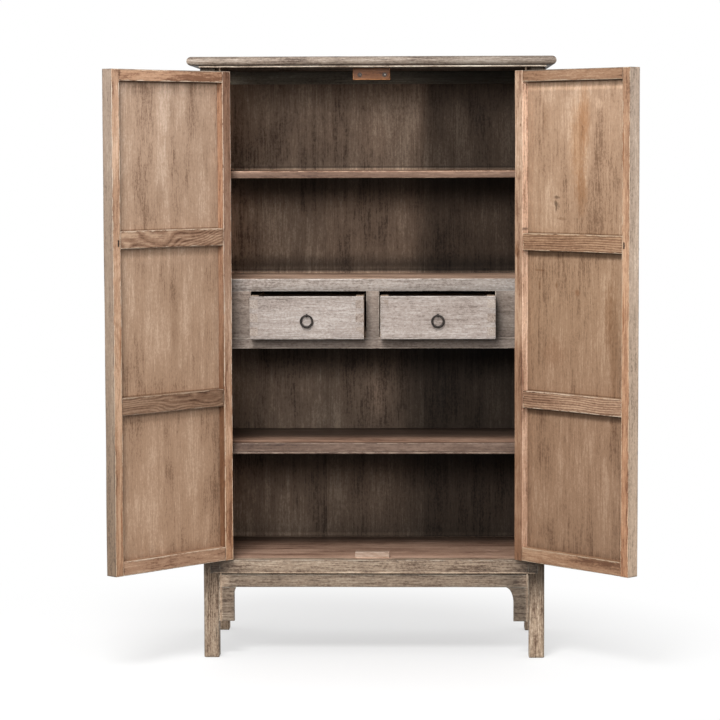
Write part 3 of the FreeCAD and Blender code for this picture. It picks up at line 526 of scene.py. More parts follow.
def lineMarks(side):
    # Dark lines at the joints of the frame. On the panel, a painted shade line along the top of each batten
    # and just under the top rail, a painted shadow under each batten of the right door, and painted light
    # under each batten of the left door and under the top rail; two dark lines down the right door's hinge
    # stile beside the panel, and a lighter line along the left door's hinge edge.
    x0, x1 = doorField
    middle = (x0 + x1) / 2
    top, bottom = doorHigh - doorSizes["topRail"], doorLow + doorSizes["bottomRail"]
    height = doorSizes["batten"][0]
    frameLines = [(x, z, 0.0022, half, 0.45, 0.38, 0.34, 0.8) for x in doorField
                  for z, half in (((top + doorHigh) / 2, 0.024), ((bottom + doorLow) / 2, 0.03))]
    panelLines = []
    for share in doorSizes["battens"][side]:
        foot = doorLow + (doorHigh - doorLow) * share
        frameLines += [(x, foot + height / 2, 0.0022, 0.034, 0.55, 0.48, 0.44, 0.8) for x in doorField]
        panelLines += [(middle, foot + height + 0.0015, 1.2, 0.0035, 0.6, 0.56, 0.52, 0.7),
                       (middle, foot - 0.006, 1.2, 0.018, 0.5, 0.46, 0.42, 0.5) if side == "right" else
                       (middle, foot - 0.024, 1.2, 0.02, 1.15, 1.15, 1.15, 0.6)]
    if side == "right":
        frameLines += [(x0 - 0.002, 0.75, 0.0014, 0.62, 0.66, 0.6, 0.56, 0.6),
                       (x0 - 0.010, 0.70, 0.0014, 0.5, 0.78, 0.74, 0.7, 0.8)]
    else:
        frameLines.append((doorEdge + 0.001, 1.0, 0.004, 1.3, 1.3, 1.3, 1.3, 0.6))
    panelLines += [(middle, top - 0.016, 1.2, 0.016, 1.45, 1.45, 1.45, 0.7),
                   (middle, top - 0.001, 1.2, 0.004, 0.55, 0.5, 0.46, 0.5)]
    return frameLines, panelLines


greyWood = woodMaterial("greyWood", "greyWash")
greyOutDarkIn = woodMaterial("greyOutDarkIn", "darkInside", "greyWash")
paleWood = woodMaterial("paleWood", "paleWash")
frameWood, panelWood = {}, {}
for side in ("left", "right"):
    frameLines, panelLines = lineMarks(side)
    frameWood[side] = woodMaterial("frameWood_" + side, "warmFrame", "greyEdge",
                                   marks=doorMarks[side, "frame"] + frameLines)
    panelWood[side] = woodMaterial("panelWood_" + side, "brownPanel", "greyWash",
                                   marks=doorMarks[side, "panel"] + panelLines)
battenWood = {"left": woodMaterial("battenWood_left", "ringedBatten"),
              "right": woodMaterial("battenWood_right", "straightBatten")}
shelfWood = woodMaterial("shelfWood", "redShelf")
drawerWood = woodMaterial("drawerWood", "bareWood", "paleWash")
stopWood = woodMaterial("stopWood", "bareWood")
hiddenWood = woodMaterial("hiddenWood", "bareWood", fromObject=True)
print("finishes made")


def facingOut(*directions):
    # The outer finish where a board's face looks in one of these directions.
    return lambda points, facing: (facing @ np.array(directions, float).T).max(1).clip(0, 1)


def fade(value, *stops):
    # A value that follows straight lines between the given pairs of place and strength.
    return np.interp(value, *zip(*stops))[:, None]


# Legs, rails and panels of the carcass
carcass = {"frontRound": 0.008, "innerRound": 0.004, "arris": 0.0018, "railDepth": 0.038,
           "railThickness": 0.030, "upperRail": 0.040, "bead": (0.004, 0.002), "ear": (0.026, 0.010, 0.013),
           "seams": (-0.158, 0.1507), "slimmer": 0.004, "panel": 0.012, "overlap": 0.0004}
shelves = [boxOf(name) for name in ("floor_board", "shelf_lower", "drawer_case_boards", "shelf_upper")]
# The painted shade and light inside: under the top and close under each shelf, strength and reach; at the
# left boards and the left wall, place and softness; per shelf how far and how much its painted shadow darkens
# what is below it, and the factors of painted light and shade by height above it; then what changes with
# height, and soft spots of x, z, half width, half height and gain
inside = {
    "lid": (0.8, 0.066), "near": (0.2, 0.04), "left": (-0.16, 0.05), "wall": (-0.48, 0.05),
    "reach": (0.1, 0.115, 0.1, 0.078),
    "loss": (0.8, 0.9, 0.8, 0.8),
    "feet": (
        ((0.0, 0.8), (0.003, 0.8), (0.006, 1.1), (0.010, 1.1), (0.016, 0.8), (0.025, 0.85), (0.05, 0.95),
         (0.08, 1.0)),
        ((0.0, 1.0), (0.08, 1.0)),
        ((0.0, 2.0), (0.0025, 2.0), (0.004, 1.6), (0.0055, 1.4), (0.007, 0.84), (0.010, 0.42), (0.0133, 0.48),
         (0.0164, 0.6), (0.0196, 0.5), (0.0259, 0.4), (0.032, 0.47), (0.0417, 0.6), (0.051, 0.75),
         (0.0606, 0.93), (0.073, 1.0)),
        ((0.0, 2.3), (0.0042, 2.3), (0.0055, 0.95), (0.0072, 0.95), (0.0085, 0.6), (0.0105, 0.6),
         (0.012, 1.0)),
    ),
    "height": (0.45, 0.78, 1.29, 1.6),
    "edge": (0.105, 0.078, 0.138, 0.152),
    "soft": (0.04, 0.05, 0.03, 0.014),
    "right": (0.25, 0.18, 0.37, 0.45),
    "lift": (2.0, 1.1, 4.0, 2.6),
    "middle": (0.49, 0.90, 0.92, 1.22),
    "side": (0.72, 0.94, 0.88, 1.08),
    "spots": ((0.0, 0.74, 0.035, 0.09, 1.7), (-0.15, 0.76, 0.04, 0.12, 0.76), (-0.25, 1.26, 0.09, 0.12, 0.76),
              (0.0, 1.54, 0.05, 0.1, 1.3), (-0.03, 0.42, 0.06, 0.1, 1.25)),
}


def paintedInsideShade(points, facing):
    # Painted shade under the top and painted shadow under each shelf, bands of painted light and shade at the
    # foot of the boards above each shelf, painted light towards the left wall, the right part darker, and
    # soft spots, some lighter and some darker; outer faces are left alone.
    x, z = points[:, 0], points[:, 2]
    (lid, lidReach), (near, nearReach), (leftX, leftSoft), (wallX, wallSoft) = (
        inside[key] for key in ("lid", "near", "left", "wall"))
    shade = 1 - lid * np.exp(-(underTop - z) / lidReach)
    for (low, high), reach, loss, feet in zip(shelves, inside["reach"], inside["loss"], inside["feet"]):
        below, gap = z < low[2] + 0.001, np.abs(low[2] - z)
        shade *= 1 - near * below * np.exp(-gap / nearReach)
        shade *= 1 - loss * below * np.exp(-(gap / reach) ** 3)
        shade *= np.where(z > high[2] - 0.001, fade(z - high[2], *feet)[:, 0], 1.0)
    edge, soft, right, lift, middle, side = (np.interp(z, inside["height"], inside[key]) for key in (
        "edge", "soft", "right", "lift", "middle", "side"))
    share = 1 / (1 + np.exp(-(x - edge) / soft * 2))
    left = 1 / (1 + np.exp((x - leftX) / leftSoft))
    shade *= (1 - share) * (middle + (side - middle) * left) + share * right
    shade *= 1 + lift * np.exp(-(x - wallX) / wallSoft)
    for spotX, spotZ, wide, high, gain in inside["spots"]:
        shade *= gain ** np.exp(-((x - spotX) / wide) ** 2 - ((z - spotZ) / high) ** 2)
    return np.where((facing[:, 1] > 0.5) | (facing[:, 0] * x > 0.2), 1.0, shade)[:, None]


def outerLeg(points, facing):
    # Dark inside: a rear leg's faces that look into the cabinet above the floor board.
    inward = (facing[:, 1] < -0.5) | (np.abs(points[:, 0]) < legInner + 0.004) & (np.abs(facing[:, 0]) > 0.5)
    return 1.0 - (inward & (points[:, 2] > railTop))


# The legs' painted shade by height: dark where the open doors shade them and under the top; painted light on
# the rear ones low down, and the front right one lighter low down
legShades = {
    ("rear", -1): ((0.1, 1.7), (0.3, 1.0)), ("rear", 1): ((0.1, 1.7), (0.3, 1.0)),
    ("front", -1): ((0.20, 1.08), (0.245, 0.78), (0.30, 0.5), (0.32, 0.8), (1.72, 0.8), (1.76, 0.3)),
    ("front", 1): ((0.10, 1.35), (0.16, 1.15), (0.19, 0.82), (0.235, 0.4), (0.30, 0.3), (0.32, 0.8),
                   (1.72, 0.8), (1.76, 0.3)),
}
arris, big, small = carcass["arris"], carcass["frontRound"], carcass["innerRound"]
legRounds = {("front", -1): (arris, arris, big, small), ("front", 1): (arris, arris, small, big),
             ("rear", -1): (arris, small, arris, arris), ("rear", 1): (small, arris, arris, arris)}
for side, name in ((-1, "left"), (1, "right")):
    for end in ("front", "rear"):
        low, high = boxOf("leg_%s_%s" % (end, name))
        high[2] = underTop
        if end == "rear":
            low[0] += carcass["slimmer"] * (side > 0)
            high[0] -= carcass["slimmer"] * (side < 0)
        piece("leg_%s_%s" % (end, name), [board(low, high, alongZ, legRounds[end, side], 0.003, 60)],
              greyOutDarkIn, tone=lambda p, f: fade(p[:, 2], *legShades[end, side]),
              finish=outerLeg if end == "rear" else lambda p, f: np.ones(len(p)))

beadHeight, beadProud = carcass["bead"]
earLength, earDepth, earRound = carcass["ear"]
railCut = dice.uniform(-9, 9, 3)


def railTone(points, facing):
    # Dull towards the legs and dark on the ears that lap them, where the doors keep the light off.
    shade = fade(np.abs(points[:, 0]), (0.30, 0.95), (0.40, 0.85), (0.455, 0.6), (0.47, 0.42), (0.50, 0.36))
    return shade * fade(points[:, 2], (railBottom + 0.004, 0.95), (railBottom + 0.02, 1.05))


parts = [board((-legInner, frontFace, railBottom), (legInner, frontFace + carcass["railDepth"], railTop),
               alongX, (0.0015, 0.003, 0.0015, 0.0015), steps=40, cut=railCut)]
for side, x in bothSides(legInner - 0.004, legInner + earLength):
    rounds = (0.002, 0.002, earRound, 0.002) if side > 0 else (0.002, earRound, 0.002, 0.002)
    parts.append(board((x[0], frontFace - 0.0006, railBottom), (x[1], frontFace + earDepth, railTop), alongY,
                       rounds, 0.001, 3, 0.0, figure=alongX, cut=railCut))
piece("rail_bottom_front", parts, greyWood, "bottom_rail_front", tone=railTone)
beadAs = {"wave": 0.0002, "unworn": (1, 2), "cut": railCut}
parts = [board((-legInner, frontFace - beadProud, railBottom),
               (legInner, frontFace + beadProud, railBottom + beadHeight), alongX, 0.0017, steps=24,
               **beadAs)]
for side, x in bothSides(legInner, legInner + earLength - earRound * 0.6):
    parts.append(board((x[0], frontFace - beadProud, railBottom),
                       (x[1], frontFace + 0.002, railBottom + beadHeight * 0.7), alongX, 0.0012, steps=6,
                       **beadAs))
# The bead painted lighter, a painted highlight that fades out towards the legs
piece("rail_bead", parts, greyWood, "bottom_rail_front",
      tone=lambda p, f: fade(np.abs(p[:, 0]), (0.3, 1.35), (0.46, 1.0)))

thick = carcass["railThickness"]
# The upper rails take the painted shade inside, tinted greyer
for key, z, slot, tone in (
        ("bottom", (railBottom, railTop), "weathered_wood", None),
        ("upper", (underTop - carcass["upperRail"], underTop), "inner_wood",
         lambda p, f: paintedInsideShade(p, f) * [1.3, 1.7, 1.9])):
    parts = [board((-legInner, rearFace - thick, z[0]), (legInner, rearFace, z[1]), alongX)]
    parts += [board((x[0], legHigh[1], z[0]), (x[1], rearLow[1], z[1]), alongY)
              for side, x in bothSides(halfWidth - thick, halfWidth)]
    piece("rails_" + key, parts, greyOutDarkIn, key + "_rails", tone=tone, finish=lambda p, f: (
        (f[:, 1] > 0.5) | (np.abs(p[:, 0]) > halfWidth - 0.004) | (p[:, 2] < railTop - 0.002)))

low, high = boxOf("side_panels")
parts = [board(*within(low, high, x), alongZ, 0.0008, 0.0008)
         for side, x in bothSides(high[0] - carcass["panel"], high[0])]
piece("panels_side", parts, greyOutDarkIn, "side_panels",
      finish=lambda p, f: (f[:, 0] * np.sign(p[:, 0])).clip(0, 1))

backLow, backHigh = boxOf("back_boards")
cuts = [backLow[0], *carcass["seams"], backHigh[0]]
lap = carcass["overlap"]
heights = [high[2] + place for (low, high), feet in zip(shelves, inside["feet"]) for place, _ in feet]
parts = [board(*within(backLow, backHigh, (a - lap, b + lap)), alongZ, 0.0012, 0.0012, 90,
               columns=8, at=heights) for a, b in zip(cuts, cuts[1:])]
piece("boards_back", parts, greyOutDarkIn, "back_boards", finish=facingOut((0, 1, 0)),
      tone=paintedInsideShade)
# Painted shade at the back of the floor board, giving way to painted light at the front
piece("board_floor", [board(*boxOf("floor_board"), alongX, 0.001, columns=10)], shelfWood,
      "floor_board",
      tone=lambda p, f: fade(rearFace - 0.02 - p[:, 1], (0.0, 0.25), (0.06, 0.4), (0.16, 0.95), (0.3, 1.15),
                             (0.42, 1.25)))
print("carcass made")

# Apron, brackets and the bead that runs down them
skirt = {"shadow": (0.0044, 0.005), "bead": (0.005, 0.003, 0.002), "tight": (0.005, 0.016),
         "cove": (0.025, 0.049), "width": 0.0465, "thickness": 0.018}
apronLow, apronHigh = boxOf("apron_front")
bracketLow = boxOf("bracket_front_left")[0][2]
shadowHeight, shadowDepth = skirt["shadow"]
beadWide, beadIn, beadOut = skirt["bead"]
apronFace = apronLow[1] + beadOut


def pushOut(axis, edge, direction, width, height, curved=True):
    # Pushes a bracket's inner edge out near its top: by a quarter ellipse, or along a straight line.
    def bend(points):
        rise = ((points[:, 2] - (apronLow[2] - height)) / height).clip(0, 1)
        push = width * (1 - np.sqrt(1 - rise ** 2) if curved else rise)
        share = ((points[:, axis] - edge) * direction / skirt["width"]).clip(0, 1)
        moved = points.copy()
        moved[:, axis] += direction * push * share
        return moved
    return bend


def skirtTone(points, facing):
    # Darker all along, with painted shade towards the legs under the doors, deepest at the right end, but
    # none on the fine bead beside each leg; the left bead has a painted highlight.
    across = np.abs(points[:, 0])
    shade = fade(across, (0.2, 0.8), (0.4, 0.74), (0.455, 0.68))
    shade = shade * fade(points[:, 0], (0.34, 1.0), (0.44, 0.62))
    beaded = (across > legInner - beadIn - beadWide - 0.0005) & (points[:, 1] < apronFace + 0.002)
    return np.where(beaded[:, None], np.where(points[:, :1] < 0, 1.6, 1.0), shade)


parts = [
    board((-legInner, apronFace, apronLow[2]), (legInner, apronHigh[1], railBottom - shadowHeight), alongX,
          steps=24, cut=railCut),
    board((-legInner, apronFace + shadowDepth, apronLow[2] + 0.01), (legInner, apronHigh[1], railBottom),
          alongX, 0.0005),
]
beadSpans = bothSides(legInner - beadIn, legInner - beadIn - beadWide)
parts += [board((x[0], apronFace - beadOut, apronLow[2]), (x[1], apronHigh[1] - 0.004, railBottom), alongZ,
                0.0019, 0.0003, unworn=(0, 1, 2)) for side, x in beadSpans]
piece("apron_front", parts, greyWood, tone=skirtTone)
brackets = zip(beadSpans, bothSides(legInner - skirt["width"], legInner), ("left", "right"),
               ("tight", "cove"))
for (side, beadX), (_, x), name, key in brackets:
    bend = pushOut(0, side * legInner, -side, *skirt[key], key == "cove")
    plate = board((x[0], apronFace, bracketLow), (x[1], apronFace + skirt["thickness"], apronLow[2]), alongZ,
                  0.0012, 0.001, 30, bend=bend, figure=alongX, cut=railCut)
    bead = board((beadX[0], apronFace - beadOut, bracketLow), (beadX[1], apronFace + 0.004, apronLow[2]),
                 alongZ, 0.0019, 0.0006, unworn=(0, 1, 2))
    piece("bracket_front_" + name, [plate, bead], greyWood, tone=skirtTone)
low, high = boxOf("aprons_side")
spans = bothSides(high[0] - skirt["thickness"], high[0])
piece("aprons_side", [board(*within(low, high, x), alongY) for side, x in spans], greyWood)
parts = []
for side, x in spans:
    for edge, direction in ((low[1], 1), (high[1], -1)):
        y = sorted((edge, edge + direction * skirt["width"]))
        parts.append(board((x[0], y[0], bracketLow), (x[1], y[1], apronLow[2]), alongZ, 0.0012, 0.001, 30,
                           bend=pushOut(1, edge, direction, *skirt["cove"])))
piece("brackets_side", parts, greyWood)
print("apron and brackets made")

# Shelves
shelf = {"groove": (0.0050, 0.0024, 0.0016), "lip": 0.0012}
low, high = boxOf("shelf_upper")
# Darker all over, with painted shade on the underside, a painted highlight along the top edge, and lighter
# along the bottom edge
piece("shelf_upper", [board(low, high, alongX, 0.003, steps=24)], shelfWood,
      tone=lambda p, f: np.where(f[:, 2:] < -0.5, 0.15, [0.52, 0.48, 0.44])
      * fade(p[:, 2], (low[2], 1.7), (low[2] + 0.003, 1.0), (high[2] - 0.004, 1.05), (high[2] - 0.001, 1.9)))
low, high = boxOf("shelf_lower")
# Painted shade at the back of the shelf, giving way to painted light near the front
piece("shelf_lower", [board(low, high, alongX, 0.001, steps=24, columns=18)], shelfWood,
      tone=lambda p, f: fade(high[1] - p[:, 1], (0.0, 0.2), (0.09, 0.22), (0.16, 0.17), (0.2, 0.2),
                             (0.234, 0.33), (0.29, 0.85), (0.35, 1.45), (0.38, 1.6), (0.42, 1.35)))
low, high = boxOf("shelf_lower_lip")
rise, gap, depth = shelf["groove"]
lip = shelf["lip"]
parts = [
    board(low, (high[0], high[1], low[2] + rise), alongX, lip, steps=24, wave=0.0002),
    board((low[0], low[1], low[2] + rise + gap), high, alongX, (lip, 0.003, lip, lip), steps=24, wave=0.0002),
    board((low[0], low[1] + depth, low[2] + 0.001), (high[0], high[1] - 0.001, high[2] - 0.004), alongX,
          0.0004, wave=0),
]
piece("shelf_lower_lip", parts, shelfWood, tone=lambda p, f: 0.43)
refinish("shelf_cleats", woodMaterial("cleatWood", "darkInside", fromObject=True))

# Drawer case; under and beside give the painted shadow below and beside each drawer: how much darker, and how
# far
case = {"stiles": (0.1174, 0.0396, 0.1234), "shift": -0.0034, "upper": 0.0376, "lower": 0.0324,
        "board": 0.018, "under": (0.76, 0.013), "beside": (0.35, 0.02)}
low, high = boxOf("drawer_case_rails")
opening = (low[2] + case["lower"], high[2] - case["upper"])
caseCut = dice.uniform(-9, 9, 3)
drawerSpans = [[corner[0] + 0.004 for corner in boxOf("drawer_%s_front" % side)]
               for side in ("left", "right")]


def caseTone(points, facing):
    # Lightest along the upper rail, darker lower down and to the right; a painted shadow below each drawer
    # and to its right; lighter along the bottom edge; the top is warm.
    x, z = points[:, 0], points[:, 2]
    shade = fade(z, (low[2], 0.57), (opening[0], 0.5), (opening[1], 0.72), (high[2] - 0.01, 1.0))
    shade = shade * np.where(z[:, None] > opening[1], [1.0, 1.03, 1.05], [1.04, 0.99, 0.94])
    shade = shade * fade(x, (-0.4, 1.12), (0.0, 1.0), (0.42, 0.88))
    (under, underReach), (beside, besideReach) = case["under"], case["beside"]
    for start, end in drawerSpans:
        below = (x > start) & (x < end) & (z < opening[0] + 0.001)
        shade = shade * (1 - under * below * np.exp((z - opening[0]) / underReach))[:, None]
        after = (x > end) & (z > opening[0] - 0.01) & (z < opening[1])
        shade = shade * (1 - beside * after * np.exp((end - x) / besideReach))[:, None]
    shade = shade * np.where(z[:, None] < low[2] + 0.0016, 1.4, 1.0)
    return np.where(facing[:, 2:] > 0.5, [1.05, 0.92, 0.82], shade)


parts = [board(*within(low, high, z=(opening[1], high[2])), alongX, 0.0015, steps=80, cut=caseCut),
         board(*within(low, high, z=(low[2], opening[0])), alongX, 0.0015, steps=80, cut=caseCut, columns=5)]
piece("case_rails", parts, paleWood, "drawer_case_rails", tone=caseTone)
left, middle, right = case["stiles"]
stiles = ((low[0], low[0] + left), (case["shift"] - middle / 2, case["shift"] + middle / 2),
          (high[0] - right, high[0]))
parts = [board(*within(low, high, x, z=opening), alongZ, 0.0012, 0.0003, figure=alongX, cut=caseCut,
               columns=6, unworn=(2,)) for x in stiles]
piece("case_stiles", parts, paleWood, "drawer_case_stiles", tone=caseTone)
low, high = boxOf("drawer_case_boards")
parts = [board(*within(low, high, z=(z, z + case["board"])), alongX, 0.0008, steps=24, columns=6)
         for z in (low[2], high[2] - case["board"])]
# Painted light on the tops, strongest in the middle of their depth, and painted shade on the other faces
piece("case_boards", parts, shelfWood, "drawer_case_boards",
      tone=lambda p, f: [0.98, 1.05, 1.06] * (0.3 + 0.7 * (f[:, 2:] > 0.5))
      * fade(high[1] - p[:, 1], (0.0, 1.8), (0.1, 2.1), (0.2, 2.05), (0.3, 1.95), (0.38, 1.3)))
for name in ("drawer_divider", "drawer_runners"):
    refinish(name, hiddenWood)
print("shelves and drawer case made")

# Drawers, with their sides dovetailed through the front
drawer = {"side": 0.024, "proud": 0.00025, "tails": (0.18, 0.5, 0.82), "tip": 0.2, "root": 0.13}


def tailTaper(middle, root, tip, face, depth):
    # A tail is as high as its tip in the drawer's face, and narrows to its root behind.
    def bend(points):
        share = ((points[:, 1] - face) / depth).clip(0, 1)
        moved = points.copy()
        moved[:, 2] = middle + (points[:, 2] - middle) * (1 + (root / tip - 1) * share)
        return moved
    return bend


for name in ("drawer_left", "drawer_right"):
    low, high = boxOf(name + "_front")
    piece(name + "_front", [board(low, high, alongX, 0.0015, 0.0015, 16)], drawerWood, body=name,
          tone=lambda p, f: np.where(f[:, 1:2] < 0.5, [0.89, 0.9, 0.92], 0.8),
          finish=facingOut((0, -1, 0), (0, 0, 1), (0, 0, -1), (1, 0, 0), (-1, 0, 0)))
    sideLow, sideHigh = boxOf(name + "_sides")
    span, face = sideHigh[2] - sideLow[2], low[1] - drawer["proud"]
    tip, root = span * drawer["tip"], span * drawer["root"]
    parts = []
    for x in ((sideLow[0], sideLow[0] + drawer["side"]), (sideHigh[0] - drawer["side"], sideHigh[0])):
        parts.append(board(*within(sideLow, sideHigh, x, (high[1], sideHigh[1])), alongY, 0.0012, 0.0005))
        for z in (sideLow[2] + span * share for share in drawer["tails"]):
            parts.append(board((x[0] - 0.0002, face, z - tip / 2),
                               (x[1] + 0.0002, high[1] + 0.001, z + tip / 2), alongY, 0.0003, 0.0003, 4, 0,
                               tailTaper(z, root, tip, face, high[1] - face), unworn=(0, 1, 2)))
    piece(name + "_sides", parts, drawerWood, body=name,
          tone=lambda p, f: np.where(p[:, 1:2] < high[1], [0.82, 0.8, 0.78], 0.85),
          finish=lambda p, f: p[:, 1] < high[1] + 0.0005)
    # Painted shade inside the drawer: its floor and back darker
    for part in ("_floor", "_back"):
        piece(name + part, [board(*boxOf(name + part), alongX, 0.0008, 0.0008, 8)], drawerWood,
              body=name, tone=lambda p, f: 0.6)
print("drawers made")

# Doors, laid out closed on the left and swung open about their pins. Their shades go from height to height,
# and hold painted light and shade as well as the wood's own tone
pinAt = {joint["child"]: joint["pos_m"] for joint in frame["joints"] if "pos_m" in joint}
doorShades = {
    "left": {
        "panel": ((0.3, 0.96, 0.92, 0.88), (1.1, 0.94, 0.94, 0.94), (1.7, 1.08, 1.14, 1.22)),
        "hinge": ((0.3, 1.26, 1.2, 1.1), (1.0, 1.0, 1.08, 1.16), (1.4, 0.66, 0.66, 0.7),
                  (1.7, 0.62, 0.6, 0.62)),
        # the recess side: painted shade low down
        "recess": ((0.3, 0.45, 0.37, 0.3), (0.8, 0.45, 0.38, 0.32), (1.1, 0.56, 0.51, 0.48),
                   (1.3, 0.95, 0.91, 0.88), (1.7, 0.95, 0.91, 0.88)),
        "free": ((0.3, 0.91, 0.87, 0.8), (1.7, 1.22, 1.32, 1.4)),
        "edge": ((0.3, 0.71, 0.63, 0.54), (1.7, 1.0, 0.96, 0.94)),
        "battens": ((0.7, 0.62, 0.6, 0.59), (1.3, 1.02, 1.06, 1.11)),
        "rails": ((0.3, 1.01, 1.04, 1.05), (1.7, 1.22, 1.27, 1.29)),
    },
    "right": {
        "panel": ((0.3, 0.66, 0.61, 0.56), (0.75, 0.7, 0.65, 0.6), (1.1, 0.78, 0.75, 0.69),
                  (1.7, 1.0, 1.0, 0.99)),
        "hinge": ((0.3, 0.56, 0.49, 0.43), (1.0, 0.86, 0.88, 0.88), (1.7, 1.33, 1.58, 1.78)),
        # the recess side: painted light, strongest at the top
        "recess": ((0.3, 1.4, 1.5, 1.62), (1.0, 1.9, 2.2, 2.5), (1.7, 2.3, 2.8, 3.3)),
        "free": ((0.3, 1.07, 0.97, 0.87), (1.7, 0.93, 0.96, 0.95)),
        "edge": ((0.3, 1.8, 1.7, 1.57), (1.7, 1.62, 1.6, 1.6)),
        "battens": ((0.7, 1.07, 1.11, 1.15), (1.3, 0.82, 0.79, 0.74)),
        "rails": ((0.3, 0.78, 0.76, 0.71), (1.7, 0.69, 0.69, 0.66)),
    },
}


def swung(side, pin):
    # From the closed left door to the open one: turned about the pin, then mirrored for the right.
    angle = -math.radians(doorSizes["open"])
    centre = np.array([-abs(pin[0]), pin[1], 0])
    turn = np.array([[math.cos(angle), -math.sin(angle), 0], [math.sin(angle), math.cos(angle), 0],
                     [0, 0, 1]])
    return lambda points: ((points - centre) @ turn.T + centre) * np.array([-side, 1, 1])


def doorTone(shades, edge=None):
    # The shade by height, another one on the faces that look away from the hinge, and painted shade on the
    # undersides.
    def along(points, stops):
        height, *colours = zip(*stops)
        return np.stack([np.interp(points[:, 2], height, colour) for colour in colours], -1)

    def tone(points, facing):
        shade = along(points, shades)
        shade = np.where(facing[:, :1] > 0.5, along(points, edge), shade) if edge else shade
        return shade * np.where(facing[:, 2:] < -0.5, 0.3, 1.0)
    return tone


def makeDoor(name, side):
    body, shades, size = "door_" + name, doorShades[name], doorSizes
    z0, z1 = (corner[2] for corner in boxOf(body + "_free_stile"))
    y0, y1 = frontFace - size["proud"], frontFace - size["proud"] + size["thickness"]
    x0, x1, (field0, field1) = doorEdge, doorEdge + size["width"], doorField
    back, front = y0 + size["panelBack"], y0 + size["panelBack"] + size["panelThickness"]
    outer = ((0, -1, 0), (0, 0, 1), (0, 0, -1))
    place = swung(side, pinAt[body])

    def add(key, parts, material, tone, finish=None):
        piece("%s_%s" % (body, key), parts, material, body=body, finish=finish,
              tone=tone, place=place, mirror=side > 0)

    hinge = board((x0, y0, z0), (field0, y1, z1), alongZ, (0.0018, 0.0012, 0.0025, 0.0012), 0.0015, 26,
                  0.0006, columns=8, unworn=(0, 1) if side > 0 else ())
    add("hinge_stile", [hinge], frameWood[name], doorTone(shades["hinge"], shades["recess"]),
        facingOut(*outer, (-1, 0, 0)))
    free = board((field1, y0, z0), (x1, y1, z1), alongZ, (0.0015, 0.0012, 0.0012, 0.0025), 0.0015, 26, 0.0005)
    add("free_stile", [free], frameWood[name], doorTone(shades["free"], shades["edge"]),
        facingOut(*outer, (1, 0, 0)))
    rails = [board((field0 - 0.002, y0, low), (field1 + 0.002, y1 - 0.0004, high), alongX, 0.0012, 0.0003,
                   16, 0.0005)
             for low, high in ((z0, z0 + size["bottomRail"]), (z1 - size["topRail"], z1))]
    add("rails", rails, frameWood[name], doorTone(shades["rails"]),
        lambda p, f: (f[:, 1] < -0.5) | (p[:, 2] < z0 + 0.001) | (p[:, 2] > z1 - 0.001))
    field = board((field0 - 0.006, back, z0 + size["bottomRail"] - 0.006),
                  (field1 + 0.006, front, z1 - size["topRail"] + 0.006), alongZ, 0.0005, 0.0005, 16, 0.0004)
    add("panel", [field], panelWood[name], doorTone(shades["panel"]), facingOut((0, -1, 0)))
    height, short = size["batten"]
    battens = [board((field0, front - 0.0005, foot), (field1, y1 - short, foot + height), alongX, 0.0018,
                     0.0005, 20, 0.0009)
               for foot in (z0 + (z1 - z0) * share for share in size["battens"][name])]
    add("battens", battens, battenWood[name], doorTone(shades["battens"]))


makeDoor("left", -1)
makeDoor("right", 1)
print("doors made")

# Top: a frame with a rounded edge, mitred at the corners, and the panel in it
cover = {"member": 0.090, "thick": 0.0266, "round": 0.0118, "lip": 0.0054, "lipInset": 0.007,
         "lipBehind": 0.0015, "arc": 11, "stations": 26}
frames = [boxOf("top_frame_" + name) for name in ("front", "rear", "ends")]
x0, y0, _ = np.min([low for low, high in frames], axis=0)
x1, y1, coverTop = np.max([high for low, high in frames], axis=0)
coverBelow = coverTop - cover["thick"]
topSides = {  # how far in each side's lip and step are
    "front": (cover["lipInset"], frontFace - y0), "rear": (cover["lipInset"], y1 - rearFace),
    "left": (-halfWidth - x0 - cover["lipBehind"], -halfWidth - x0),
    "right": (x1 - halfWidth - cover["lipBehind"], x1 - halfWidth)}


def makeTopMember(start, end, inward, *sides):
    # start and end are the frame's outer corners; each point of the profile, from the inner top arris over
    # the rounded edge to the step below, is set in by its side's inset along the inward direction and, for
    # the mitre, by the insets of the sides before and after along the member.
    r, member, low = cover["thick"] / 2, cover["member"], coverBelow - cover["lip"]
    above = [(member, coverTop), (member * 0.6, coverTop), (r + 0.004, coverTop)]
    above += [(r * (1 - math.sin(t)), coverTop - r + r * math.cos(t))
              for t in np.linspace(0, math.pi, cover["arc"])]

    def outlineOf(lip, step):
        return np.array(above + [
            (lip + 0.002, coverBelow), (lip, coverBelow - 0.0010), (lip, coverBelow - 0.0016), (lip, low),
            (lip + 0.001, low), (step + 0.0008, low), (step + 0.0008, underTop), (member, underTop)])

    outline, before, after = (outlineOf(*topSides[key]) for key in sides)
    start, end, inward = (np.array(v, float) for v in (start, end, inward))
    length = np.linalg.norm(end - start)
    direction = (end - start) / length
    stations = np.linspace(0, 1, cover["stations"])[:, None]
    distance = before[None, :, 0] + stations * (length - before[:, 0] - after[:, 0])[None, :]
    flat = start + inward * outline[None, :, :1] + direction * distance[..., None]
    height = np.broadcast_to(outline[None, :, 1:], flat.shape[:2] + (1,))
    points = np.concatenate([flat, height], -1)
    quads = gridQuads(*points.shape[:2])
    points = points.reshape(-1, 3)
    local = points - np.array([*start, 0])
    grain = np.stack([local[:, :2] @ direction, local[:, :2] @ inward, local[:, 2]], -1)
    return {"points": points, "quads": quads, "grain": grain + dice.uniform(-9, 9, 3),
            "room": np.ones_like(points), "facing": np.zeros_like(points)}


